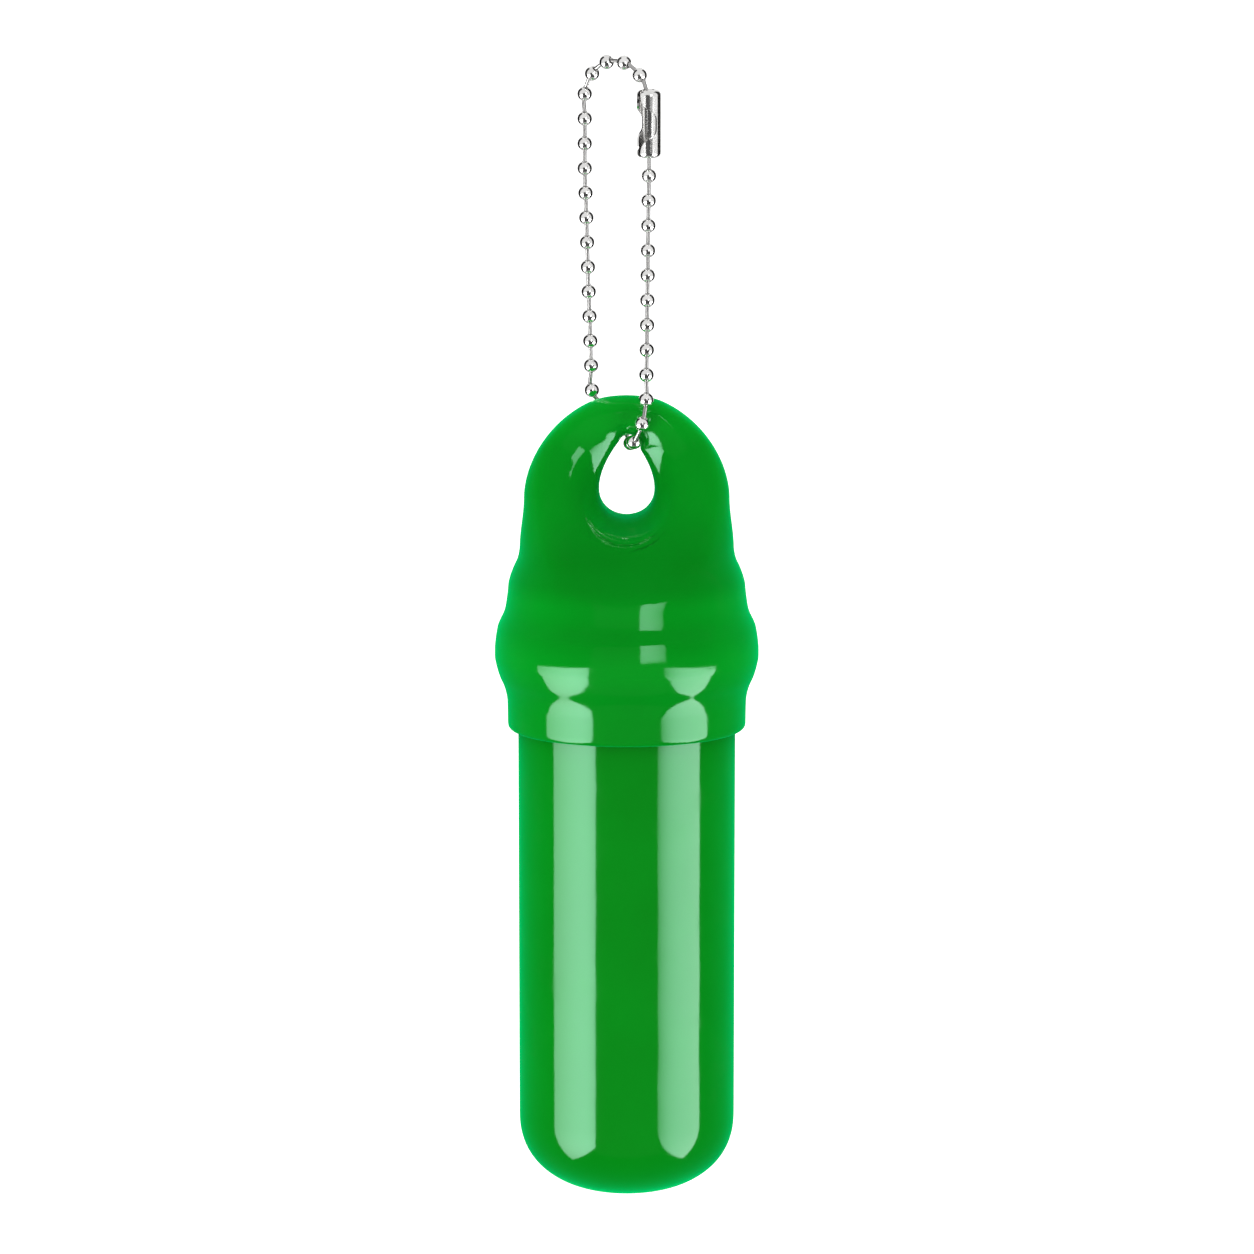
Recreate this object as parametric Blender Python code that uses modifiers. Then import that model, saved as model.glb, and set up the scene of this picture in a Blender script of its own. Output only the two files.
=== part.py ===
"""Floating key container: a vinyl tube and its cap, hung on a ball chain.

Metres, +Z up, front at -Y. The origin is the point under the top of the chain's arch where a
hook or a finger holds the container. The cap's tab has a teardrop eye for the chain, and the
tube slides down out of the cap.
"""
import math

import bmesh
import bpy
from mathutils import Vector

# Ball chain: hollow beads, and dumb-bell pins with a head inside each of two beads.
BEAD_RADIUS = 0.00120
BEAD_WALL = 0.00025
PIN_RADIUS = 0.00025
PIN_HEAD_RADIUS = 0.00040
PIN_HEAD_LENGTH = 0.00025
PIN_HEAD_RIM = 0.00008
PIN_HEAD_REACH = 0.00075
PIN_CLEARANCE = 0.00011
LINK_PITCH = 0.00400

# Loop that the chain hangs in, turned so that its left strand lies behind the tab.
LOOP_WIDTH = 0.0138
LOOP_TURN = math.radians(42)
STRAND_PAIRS = 10
ARCH_LINKS = 5
ARCH_PITCH_SHARE = 0.94
LEFT_LEAD_LINKS = 3

# Connector: a sheet sleeve rolled round the two end beads, open on one side.
CONNECTOR_RADIUS = 0.00195
CONNECTOR_WALL = 0.00030
CONNECTOR_LENGTH = 0.0109
CONNECTOR_END_HOLE = 0.00100
CONNECTOR_CORNER = 0.00080
CONNECTOR_BEAD_GAP = 0.00010
CONNECTOR_MOUTH_LENGTH = 0.0064
CONNECTOR_MOUTH_HALF_WIDTH = 0.00186
CONNECTOR_SLOT_HALF_WIDTH = 0.00050
CONNECTOR_MOUTH_BACK = 0.00025
CONNECTOR_MOUTH_TURN = math.radians(-60)

# Where the chain crosses the cap: places are counted from the container's own axis.
AXIS_OFFSET = 0.0016
SEAT_OFFSET = 0.0006
RIGHT_FOOT = 0.0031
LEFT_FOOT = -0.0056
SEAT_GAP = 0.00035
SEAT_SHARE = 0.6
RIGHT_STEP_SHARES = (0.0, 0.22, 0.74, 1.0)
LEFT_STEP_SHARES = (0.0, 0.2, 0.6, 1.0)

# Tab: the flattened top of the cap, with a bar over the eye.
BAR_HEIGHT = 0.0066
BAR_THICKNESS = 0.0072
CROWN_DEPTH = 0.0169
CROWN_POWER = 1.85
TAB_WIDTH_SHARE = 0.96
EYE_TOP_RADIUS = 0.00215
EYE_BOTTOM_RADIUS = 0.00445
EYE_HEIGHT = 0.0133
EYE_SILL_SHARE = 0.8
EYE_OVERCUT_SHARE = 1.3

# Half depth of the tab's body, and of the scoop that flattens it, at shares of the neck's depth.
BODY_SHARES = ((0.0, 0.28), (0.16, 0.38), (0.31, 0.48), (0.47, 0.54), (0.68, 0.63),
               (0.81, 0.77), (0.98, 0.98), (1.05, 1.0), (3.0, 1.0))
SCOOP_SHARES = ((0.0, 0.0), (0.3, 0.02), (0.48, 0.12), (0.68, 0.265), (0.81, 0.42), (0.98, 0.7),
                (1.15, 1.0), (1.25, 1.25), (1.4, 1.8), (1.6, 3.0), (3.0, 9.0))
SCOOP_EDGE_POWER = 8

# Grip of the cap, from its neck down to its hem, and what lies along it by shares of its length.
NECK_DEPTH = 0.0250
CAP_HEIGHT = 0.0543
SHOULDER_SHARE = 0.2116
SHELF_SHARE = 0.314
BULGE_SHARE = 0.5597
WAIST_SHARE = 0.8464
STOP_SHARE = 0.2253
NECK_INSET = 0.0019
SHELF_RISE = 0.0004
BULGE_RISE = 0.0021
HEM_ROUND = 0.0009
CAP_WALL = 0.0014

# Tube, its seat in the cap, and the hollow over its mouth.
TUBE_RADIUS = 0.0175
TUBE_WALL = 0.0016
TUBE_LENGTH = 0.0982
TUBE_DRAFT = 0.0002
TUBE_END_HEIGHT = 0.0130
TUBE_END_POWER = 2.3
SOCKET_CLEARANCE = 0.0002
STOP_GAP = 0.0003
STOP_LEDGE = 0.0017
DOME_RISE = 0.0056

# Facets.
BEAD_SIDES = 10
BEAD_OUTER_BANDS = 5
BEAD_INNER_BANDS = 3
PIN_SIDES = 6
CONNECTOR_SIDES = 18
CORNER_BANDS = 3
BODY_SIDES = 36
CROWN_BANDS = 5
CAP_BANDS = 21
SOCKET_BANDS = 9
DOME_BANDS = 4
TUBE_END_BANDS = 8
EYE_ARC_BANDS = 7
EYE_BANDS = 8
MOUTH_BANDS = 8

# Sizes that follow from the ones above.
GRIP_LENGTH = CAP_HEIGHT - NECK_DEPTH
STOP_DEPTH = NECK_DEPTH + GRIP_LENGTH * STOP_SHARE
SOCKET_DEPTH = CAP_HEIGHT - STOP_DEPTH - STOP_GAP
HOLE_RADIUS = PIN_RADIUS + PIN_CLEARANCE
BEAD_BORE = BEAD_RADIUS - BEAD_WALL
SWIVEL_RADIUS = BEAD_RADIUS - BEAD_WALL / 2
SOCKET_RADIUS = TUBE_RADIUS + SOCKET_CLEARANCE
SKIRT_RADIUS = SOCKET_RADIUS + CAP_WALL
NECK_RADIUS = SKIRT_RADIUS - NECK_INSET
END_BEAD_HEIGHT = (CONNECTOR_LENGTH / 2 - CONNECTOR_WALL - CONNECTOR_BEAD_GAP
                   - math.sqrt(BEAD_RADIUS ** 2 - CONNECTOR_END_HOLE ** 2))
MERGE = 1e-7
SOLVER_STEPS = 60

NICKEL = (0.62, 0.62, 0.63)
LINK_ROUGHNESS = 0.18
SLEEVE_ROUGHNESS = 0.22
GREEN = (0.0, 0.33, 0.045)
CAP_ROUGHNESS = 0.12
TUBE_ROUGHNESS = 0.10


def clear_scene():
    """Remove the objects and collections of the open scene."""
    for item in list(bpy.context.scene.objects):
        bpy.data.objects.remove(item, do_unlink=True)
    for group in list(bpy.data.collections):
        bpy.data.collections.remove(group)


def new_collection(name):
    """A collection linked to the scene."""
    group = bpy.data.collections.new(name)
    bpy.context.scene.collection.children.link(group)
    return group


def new_material(name, color, roughness, metallic):
    """A Principled material."""
    material = bpy.data.materials.new(name)
    material.use_nodes = True
    shader = material.node_tree.nodes["Principled BSDF"]
    shader.inputs["Base Color"].default_value = (*color, 1.0)
    shader.inputs["Roughness"].default_value = roughness
    shader.inputs["Metallic"].default_value = metallic
    return material


def new_object(name, data, group, material=None):
    """An object in a collection, with its material."""
    item = bpy.data.objects.new(name, data)
    group.objects.link(item)
    if material:
        data.materials.clear()
        data.materials.append(material)
    return item


def mark_cutter(item):
    """Hide a cutter or a guide from the finished model."""
    item.hide_render = True
    item.display_type = "WIRE"
    return item


def evaluated_mesh(item):
    """The mesh that an object's modifiers make."""
    bpy.context.view_layer.update()
    graph = bpy.context.evaluated_depsgraph_get()
    return bpy.data.meshes.new_from_object(item.evaluated_get(graph))


def smooth(mesh, angle=math.radians(35)):
    """Smooth shading with sharp edges kept."""
    mesh.shade_smooth()
    mesh.set_sharp_from_angle(angle=angle)


def turned_mesh(name, outline, sides, group, closed=False):
    """A turned shape from an outline of (radius, height) points."""
    mesh = bpy.data.meshes.new(name)
    edges = [(index, index + 1) for index in range(len(outline) - 1)]
    if closed:
        edges.append((len(outline) - 1, 0))
    mesh.from_pydata([(radius, 0.0, height) for radius, height in outline], edges, [])
    item = bpy.data.objects.new(name, mesh)
    group.objects.link(item)
    screw = item.modifiers.new("Screw", "SCREW")
    screw.axis = "Z"
    screw.steps = screw.render_steps = sides
    screw.use_merge_vertices = True
    screw.merge_threshold = MERGE
    result = evaluated_mesh(item)
    result.name = name
    bpy.data.objects.remove(item)
    bpy.data.meshes.remove(mesh)
    return result


def combine(item, other, operation):
    """Apply a Boolean of one object with another, and remove the other."""
    modifier = item.modifiers.new("Combine", "BOOLEAN")
    modifier.operation = operation
    modifier.solver = "EXACT"
    modifier.object = other
    result = evaluated_mesh(item)
    item.modifiers.remove(modifier)
    old = item.data
    result.name = old.name
    item.data = result
    bpy.data.meshes.remove(old)
    bpy.data.objects.remove(other)


def arc(centre, radius, start, end, bands):
    """Points of an arc round a centre, by angles from +X."""
    points = []
    for band in range(bands + 1):
        angle = start + (end - start) * band / bands
        points.append((centre[0] + radius * math.cos(angle), centre[1] + radius * math.sin(angle)))
    return points


def through(table, value):
    """A smooth curve through a table of (place, size) rows that never overshoots them."""
    places = [row[0] for row in table]
    sizes = [row[1] for row in table]
    slopes = [(sizes[k + 1] - sizes[k]) / (places[k + 1] - places[k]) for k in range(len(table) - 1)]
    tangents = [slopes[0]]
    for before, after in zip(slopes, slopes[1:]):
        tangents.append(0.0 if before * after <= 0 else 2 * before * after / (before + after))
    tangents.append(slopes[-1])
    value = min(max(value, places[0]), places[-1])
    index = max(k for k in range(len(places) - 1) if places[k] <= value)
    span = places[index + 1] - places[index]
    share = (value - places[index]) / span
    rise = sizes[index + 1] - sizes[index]
    curve = tangents[index] * span, tangents[index + 1] * span
    return (sizes[index] + curve[0] * share
            + (3 * rise - 2 * curve[0] - curve[1]) * share ** 2
            + (curve[0] + curve[1] - 2 * rise) * share ** 3)


def solve(function, low, high):
    """The place between two bounds where a rising function is zero."""
    for _ in range(SOLVER_STEPS):
        middle = (low + high) / 2
        if function(middle) < 0:
            low = middle
        else:
            high = middle
    return (low + high) / 2


def wrap_point(turn, across):
    """The chain's centre line round the bar, by the turn from straight below towards the front."""
    aside = min(abs(across), EYE_TOP_RADIUS * SEAT_SHARE)
    sag = EYE_TOP_RADIUS - math.sqrt(EYE_TOP_RADIUS ** 2 - aside ** 2)
    reach = BAR_THICKNESS / 2 + BEAD_RADIUS + SEAT_GAP
    drop = BAR_HEIGHT / 2 + BEAD_RADIUS + SEAT_GAP + sag
    quarter = math.pi / 2
    if abs(turn) <= quarter:
        return -reach * math.sin(turn), -drop * math.cos(turn)
    return math.copysign(reach, -turn), drop * (abs(turn) - quarter)


def wrap_strand(seat_turn, foot, step_shares):
    """Bead places relative to the bar, from the seat bead out to a strand's foot."""
    side = -1 if foot < 0 else 1
    turn = seat_turn
    across = [SEAT_OFFSET + (foot - SEAT_OFFSET) * share for share in step_shares]
    places = [Vector((across[0], *wrap_point(turn, across[0])))]
    for after in across[1:]:
        step = solve(lambda more: (Vector((after, *wrap_point(turn + side * more, after)))
                                   - places[-1]).length - LINK_PITCH, 0.0, math.pi)
        turn += side * step
        places.append(Vector((after, *wrap_point(turn, after))))
    return places


def eye_beads():
    """Beads round the bar, back foot to front foot, with both feet at one height."""
    def unevenness(turn):
        left = wrap_strand(turn, LEFT_FOOT, LEFT_STEP_SHARES)[-1].z
        right = wrap_strand(turn, RIGHT_FOOT, RIGHT_STEP_SHARES)[-1].z
        return right - left
    seat_turn = solve(unevenness, -math.pi / 4, math.pi / 4)
    left = wrap_strand(seat_turn, LEFT_FOOT, LEFT_STEP_SHARES)
    right = wrap_strand(seat_turn, RIGHT_FOOT, RIGHT_STEP_SHARES)
    return left[::-1] + right[1:]


def strand_up(foot, top):
    """Beads from a strand's foot up to its topmost pair, over the plan place of its top."""
    lean = Vector((top[0] - foot.x, top[1] - foot.y, 0.0)) / (STRAND_PAIRS - 1)
    rise = math.sqrt(LINK_PITCH ** 2 - lean.length ** 2)
    return [foot + k * (lean + Vector((0.0, 0.0, rise))) for k in range(STRAND_PAIRS)]


def arch_beads(first, last):
    """Beads of the arch between its two end beads, on a circle with an even chord."""
    chord = LINK_PITCH * ARCH_PITCH_SHARE
    span = last - first
    reach = span.length
    turn = solve(lambda angle: reach - chord * math.sin(ARCH_LINKS * angle / 2) / math.sin(angle / 2),
                 MERGE, 2 * math.pi / ARCH_LINKS)
    radius = chord / (2 * math.sin(turn / 2))
    along = span.normalized()
    level = Vector((span.x, span.y, 0.0)).normalized()
    upright = level.cross(Vector((0.0, 0.0, 1.0))).cross(along).normalized()
    if upright.z < 0:
        upright.negate()
    centre = (first + last) / 2 - upright * radius * math.cos(ARCH_LINKS * turn / 2)
    beads = []
    for k in range(1, ARCH_LINKS):
        angle = (k - ARCH_LINKS / 2) * turn
        beads.append(centre + along * radius * math.sin(angle) + upright * radius * math.cos(angle))
    return beads


def chain_layout():
    """Every bead's centre in order round the loop, and the height of the bar's centre."""
    plan = Vector((math.cos(LOOP_TURN), -math.sin(LOOP_TURN))) * LOOP_WIDTH / 2
    axis = Vector((AXIS_OFFSET, 0.0, 0.0))
    wrap = [axis + place for place in eye_beads()]
    left = strand_up(wrap[0], -plan)
    right = strand_up(wrap[-1], plan)
    up = Vector((0.0, 0.0, LINK_PITCH))
    left_lead = [left[-1] + (k + 1) * up for k in range(LEFT_LEAD_LINKS)]
    low_end = right[-1] + up
    high_end = low_end + Vector((0.0, 0.0, 2 * END_BEAD_HEIGHT))
    arch = arch_beads(high_end, left_lead[-1])
    beads = [high_end] + arch + left_lead[::-1] + left[::-1] + wrap[1:-1] + right + [low_end]
    lift = BEAD_RADIUS - max(bead.z for bead in beads)
    beads = [bead + Vector((0.0, 0.0, lift)) for bead in beads]
    return beads, lift


def cap_radius(depth):
    """The cap's round outline below its neck, by depth under the cap's top."""
    return through(((0.0, NECK_RADIUS),
                    (SHOULDER_SHARE, SKIRT_RADIUS),
                    (SHELF_SHARE, SKIRT_RADIUS + SHELF_RISE),
                    (BULGE_SHARE, SKIRT_RADIUS + BULGE_RISE),
                    (WAIST_SHARE, SKIRT_RADIUS),
                    (1.0, SKIRT_RADIUS)), (depth - NECK_DEPTH) / GRIP_LENGTH)


def tab_half_width(depth):
    """Half the cap's width in front view: a crowned top, then the grip's round outline."""
    crown = NECK_RADIUS * TAB_WIDTH_SHARE
    if depth < CROWN_DEPTH:
        share = 1 - depth / CROWN_DEPTH
        return crown * (1 - share ** CROWN_POWER) ** (1 / CROWN_POWER)
    if depth < NECK_DEPTH:
        share = (depth - CROWN_DEPTH) / (NECK_DEPTH - CROWN_DEPTH)
        return crown + (NECK_RADIUS - crown) * share ** 2 * (3 - 2 * share)
    return cap_radius(depth)


def ridge_share(depth):
    """How far the bar's rounded top has reached its full thickness."""
    half = BAR_HEIGHT / 2
    return math.sqrt(1 - ((half - depth) / half) ** 2) if depth < half else 1.0


def scoop_depth(depth):
    """How far the scooped faces stand from the tab's middle, before the crown rounds them off."""
    bar = BAR_THICKNESS / 2
    return bar + (NECK_RADIUS - bar) * through(SCOOP_SHARES, depth / NECK_DEPTH)


def cap_section(depth):
    """One level section of the cap: an oval whose front and back are flattened by the scoops."""
    width = tab_half_width(depth)
    oval = width if depth >= NECK_DEPTH else NECK_RADIUS * through(BODY_SHARES, depth / NECK_DEPTH)
    body = oval * ridge_share(depth)
    scoop = scoop_depth(depth) * ridge_share(depth)
    points = []
    for side in range(BODY_SIDES):
        angle = 2 * math.pi * side / BODY_SIDES
        deep = body * math.sin(angle)
        flat = deep / (1 + (abs(deep) / scoop) ** SCOOP_EDGE_POWER) ** (1 / SCOOP_EDGE_POWER)
        points.append((width * math.cos(angle), flat))
    return points


def ring_points(radius):
    """A round section."""
    return [(radius * math.cos(2 * math.pi * side / BODY_SIDES),
             radius * math.sin(2 * math.pi * side / BODY_SIDES)) for side in range(BODY_SIDES)]


def socket_outline():
    """The cap's hollow from the hem up: skirt bore, groove behind the bulge, stop ledge and dome."""
    rings = []
    for band in range(SOCKET_BANDS + 1):
        depth = CAP_HEIGHT + (STOP_DEPTH - CAP_HEIGHT) * band / SOCKET_BANDS
        rings.append((depth, max(SOCKET_RADIUS, cap_radius(depth) - CAP_WALL)))
    rings[-1] = (STOP_DEPTH, SOCKET_RADIUS)
    for band in range(DOME_BANDS):
        angle = math.pi / 2 * band / DOME_BANDS
        across = (SOCKET_RADIUS - STOP_LEDGE) * math.cos(angle)
        rings.append((STOP_DEPTH - DOME_RISE * math.sin(angle), across))
    return rings, STOP_DEPTH - DOME_RISE


def cap_mesh():
    """The cap as one lofted skin: crown, tab, grip and skirt outside, socket and dome inside."""
    levels = [BAR_HEIGHT * (1 - math.cos(math.pi / 2 * (band + 1) / CROWN_BANDS))
              for band in range(CROWN_BANDS)]
    last = CAP_HEIGHT - HEM_ROUND
    levels += [BAR_HEIGHT + (last - BAR_HEIGHT) * (band + 1) / CAP_BANDS for band in range(CAP_BANDS)]
    sections = [(-depth, cap_section(depth)) for depth in levels]
    hem = arc((SKIRT_RADIUS - HEM_ROUND, -last), HEM_ROUND, 0.0, -math.pi / 2, CORNER_BANDS)
    sections += [(drop, ring_points(across)) for across, drop in hem[1:]]
    rings, ceiling = socket_outline()
    sections += [(-depth, ring_points(radius)) for depth, radius in rings]

    shape = bmesh.new()
    loops = [[shape.verts.new((x, y, height)) for x, y in points] for height, points in sections]
    top = shape.verts.new((0.0, 0.0, 0.0))
    roof = shape.verts.new((0.0, 0.0, -ceiling))
    for side in range(BODY_SIDES):
        after = (side + 1) % BODY_SIDES
        shape.faces.new((top, loops[0][side], loops[0][after]))
        shape.faces.new((roof, loops[-1][after], loops[-1][side]))
        for upper, lower in zip(loops, loops[1:]):
            shape.faces.new((upper[side], lower[side], lower[after], upper[after]))
    mesh = bpy.data.meshes.new("cap")
    shape.to_mesh(mesh)
    shape.free()
    return mesh


def eye_outline(flare):
    """The teardrop, swollen by a flare: a small arc over a large one, joined by tangents."""
    top = EYE_TOP_RADIUS + flare
    bottom = EYE_BOTTOM_RADIUS + flare
    top_height = -BAR_HEIGHT - EYE_TOP_RADIUS
    bottom_height = -BAR_HEIGHT - EYE_HEIGHT + EYE_BOTTOM_RADIUS + EYE_SILL_SHARE * flare
    tilt = math.asin((bottom - top) / (top_height - bottom_height))
    upper = arc((0.0, top_height), top, tilt, math.pi - tilt, EYE_ARC_BANDS)
    lower = arc((0.0, bottom_height), bottom, math.pi - tilt, 2 * math.pi + tilt, EYE_ARC_BANDS)
    return upper + lower


def eye_cutter(group):
    """A plug through the tab that widens to meet both faces, so the bar over it is an oval."""
    turns = [math.pi * (band / EYE_BANDS - 0.5) for band in range(EYE_BANDS + 1)]
    levels = [(math.sin(turn), 1 - math.cos(turn)) for turn in turns]
    levels = [(-EYE_OVERCUT_SHARE, 1.0)] + levels + [(EYE_OVERCUT_SHARE, 1.0)]
    shape = bmesh.new()
    loops = []
    for share, swell in levels:
        outline = eye_outline(swell * BAR_HEIGHT / 2)
        loops.append([shape.verts.new((x, share * scoop_depth(-z), z)) for x, z in outline])
    count = len(loops[0])
    shape.faces.new(loops[0])
    shape.faces.new(loops[-1][::-1])
    for near, far in zip(loops, loops[1:]):
        for k in range(count):
            after = (k + 1) % count
            shape.faces.new((near[k], far[k], far[after], near[after]))
    bmesh.ops.recalc_face_normals(shape, faces=shape.faces)
    bmesh.ops.triangulate(shape, faces=shape.faces)
    mesh = bpy.data.meshes.new("eye_cutter")
    shape.to_mesh(mesh)
    shape.free()
    return mark_cutter(new_object("eye_cutter", mesh, group))


def tube_outline():
    """The tube's wall from the bottom of its bore, over the mouth's rim, to its lowest point."""
    mouth = TUBE_LENGTH
    rim = TUBE_WALL / 2

    def closed_end(radius, height, bottom):
        points = []
        for band in range(TUBE_END_BANDS + 1):
            angle = math.pi / 2 * band / TUBE_END_BANDS
            across = radius * math.cos(angle) ** (2 / TUBE_END_POWER)
            down = height * math.sin(angle) ** (2 / TUBE_END_POWER)
            points.append((max(across, 0.0) if band < TUBE_END_BANDS else 0.0, bottom + height - down))
        return points

    bore = TUBE_RADIUS - TUBE_WALL
    inside = closed_end(bore - TUBE_DRAFT, TUBE_END_HEIGHT - TUBE_WALL, TUBE_WALL)
    outside = closed_end(TUBE_RADIUS - TUBE_DRAFT, TUBE_END_HEIGHT, 0.0)
    lip = arc((TUBE_RADIUS - rim, mouth - rim), rim, math.pi, 0.0, CORNER_BANDS + 1)
    return inside[::-1] + lip + outside


def connector_outline():
    """The sleeve's wall as a closed loop, with both ends curled in to their holes."""
    half = CONNECTOR_LENGTH / 2
    across = CONNECTOR_RADIUS - CONNECTOR_CORNER
    inner_corner = CONNECTOR_CORNER - CONNECTOR_WALL
    rise = half - CONNECTOR_CORNER
    quarter = math.pi / 2
    outer = ([(CONNECTOR_END_HOLE, half)]
             + arc((across, rise), CONNECTOR_CORNER, quarter, 0.0, CORNER_BANDS)
             + arc((across, -rise), CONNECTOR_CORNER, 0.0, -quarter, CORNER_BANDS)
             + [(CONNECTOR_END_HOLE, -half)])
    inner = ([(CONNECTOR_END_HOLE, CONNECTOR_WALL - half)]
             + arc((across, -rise), inner_corner, -quarter, 0.0, CORNER_BANDS)
             + arc((across, rise), inner_corner, 0.0, quarter, CORNER_BANDS)
             + [(CONNECTOR_END_HOLE, half - CONNECTOR_WALL)])
    return outer + inner


def connector_mouth(group):
    """A plug for the sleeve's side: a wide lens where a bead goes in, and a slot for the pins."""
    half = CONNECTOR_MOUTH_LENGTH / 2
    slot = CONNECTOR_SLOT_HALF_WIDTH
    end = CONNECTOR_LENGTH
    right = [(slot, end)]
    for band in range(MOUTH_BANDS + 1):
        height = half * (1 - 2 * band / MOUTH_BANDS)
        swell = math.cos(math.pi / 2 * height / half) ** 2
        right.append((slot + (CONNECTOR_MOUTH_HALF_WIDTH - slot) * swell, height))
    right.append((slot, -end))
    outline = right + [(-across, height) for across, height in right[::-1]]
    shape = bmesh.new()
    near = [shape.verts.new((across, CONNECTOR_MOUTH_BACK, height)) for across, height in outline]
    far = [shape.verts.new((across, -CONNECTOR_LENGTH, height)) for across, height in outline]
    shape.faces.new(near)
    shape.faces.new(far[::-1])
    for k in range(len(outline)):
        after = (k + 1) % len(outline)
        shape.faces.new((near[k], near[after], far[after], far[k]))
    bmesh.ops.recalc_face_normals(shape, faces=shape.faces)
    mesh = bpy.data.meshes.new("connector_mouth")
    shape.to_mesh(mesh)
    shape.free()
    cutter = new_object("connector_mouth", mesh, group)
    cutter.rotation_euler.z = CONNECTOR_MOUTH_TURN
    return mark_cutter(cutter)


def bead_outline():
    """A hollow bead with one hole at its top."""
    outer_edge = math.acos(HOLE_RADIUS / BEAD_RADIUS)
    inner_edge = math.acos(HOLE_RADIUS / BEAD_BORE)
    centre = (0.0, 0.0)
    inner = arc(centre, BEAD_BORE, -math.pi / 2, inner_edge, BEAD_INNER_BANDS)
    outer = arc(centre, BEAD_RADIUS, outer_edge, -math.pi / 2, BEAD_OUTER_BANDS)
    inner[0] = (0.0, -BEAD_BORE)
    outer[-1] = (0.0, -BEAD_RADIUS)
    return inner + outer


def pin_outline():
    """A dumb-bell pin, counted from the centre of the bead that it starts in."""
    far = LINK_PITCH - SWIVEL_RADIUS + PIN_HEAD_REACH
    near = SWIVEL_RADIUS - PIN_HEAD_REACH
    return [(0.0, far), (PIN_HEAD_RADIUS, far - PIN_HEAD_RIM), (PIN_RADIUS, far - PIN_HEAD_LENGTH),
            (PIN_RADIUS, near + PIN_HEAD_LENGTH), (PIN_HEAD_RADIUS, near + PIN_HEAD_RIM), (0.0, near)]


def hole_outline():
    """A drill for a bead's second hole."""
    return [(0.0, BEAD_RADIUS * 2), (HOLE_RADIUS, BEAD_RADIUS * 2), (HOLE_RADIUS, BEAD_RADIUS / 2),
            (0.0, BEAD_RADIUS / 2)]


def aimed(name, mesh, place, direction, group, material=None):
    """An object whose +Z points along a direction."""
    item = new_object(name, mesh, group, material)
    item.location = place
    item.rotation_mode = "QUATERNION"
    item.rotation_quaternion = Vector((0.0, 0.0, 1.0)).rotation_difference(direction)
    return item


def make_links(beads, meeting, group, cutters, material):
    """One object for each bead, joined with the pin that it carries to the bead below it.

    The pins lead down both strands to the bead at index meeting, which has two holes and no pin.
    """
    bead = turned_mesh("bead", bead_outline(), BEAD_SIDES, cutters)
    pin = turned_mesh("pin", pin_outline(), PIN_SIDES, cutters)
    drill = turned_mesh("drill", hole_outline(), BEAD_SIDES, cutters)
    links = []
    for index, place in enumerate(beads):
        ahead = 1 if index < meeting else -1
        last = index == meeting
        after = None if last else beads[index + ahead]
        before = beads[index - ahead] if 0 <= index - ahead < len(beads) else None
        away = (place - after).normalized() if before is None else (before - place).normalized()
        name = f"chain_link_{index + 1:02d}"
        link = aimed(name, bead.copy(), place, away, group, material)
        if last:
            towards = (beads[index - 1] - place).normalized()
            combine(link, aimed("drill", drill.copy(), place, towards, cutters), "DIFFERENCE")
        else:
            towards = (after - place).normalized()
            combine(link, aimed("pin", pin.copy(), place, towards, cutters), "UNION")
        smooth(link.data)
        links.append(link)
    for mesh in (bead, pin, drill):
        bpy.data.meshes.remove(mesh)
    return links


def swivel_point(beads, index, ahead):
    """The middle of the hole where the pin from the bead before enters this bead."""
    return beads[index] + (beads[index - ahead] - beads[index]).normalized() * SWIVEL_RADIUS


def pivot(name, place, axis, group, parent=None):
    """An empty on a joint, with its X axis along the joint's axis."""
    empty = bpy.data.objects.new(name, None)
    empty.empty_display_size = LINK_PITCH
    group.objects.link(empty)
    empty.location = place
    empty.rotation_mode = "QUATERNION"
    empty.rotation_quaternion = Vector((1.0, 0.0, 0.0)).rotation_difference(axis)
    attach(empty, parent)
    return empty


def attach(item, parent):
    """Parent an object without moving it."""
    if parent:
        bpy.context.view_layer.update()
        item.parent = parent
        item.matrix_parent_inverse = parent.matrix_world.inverted()


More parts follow.
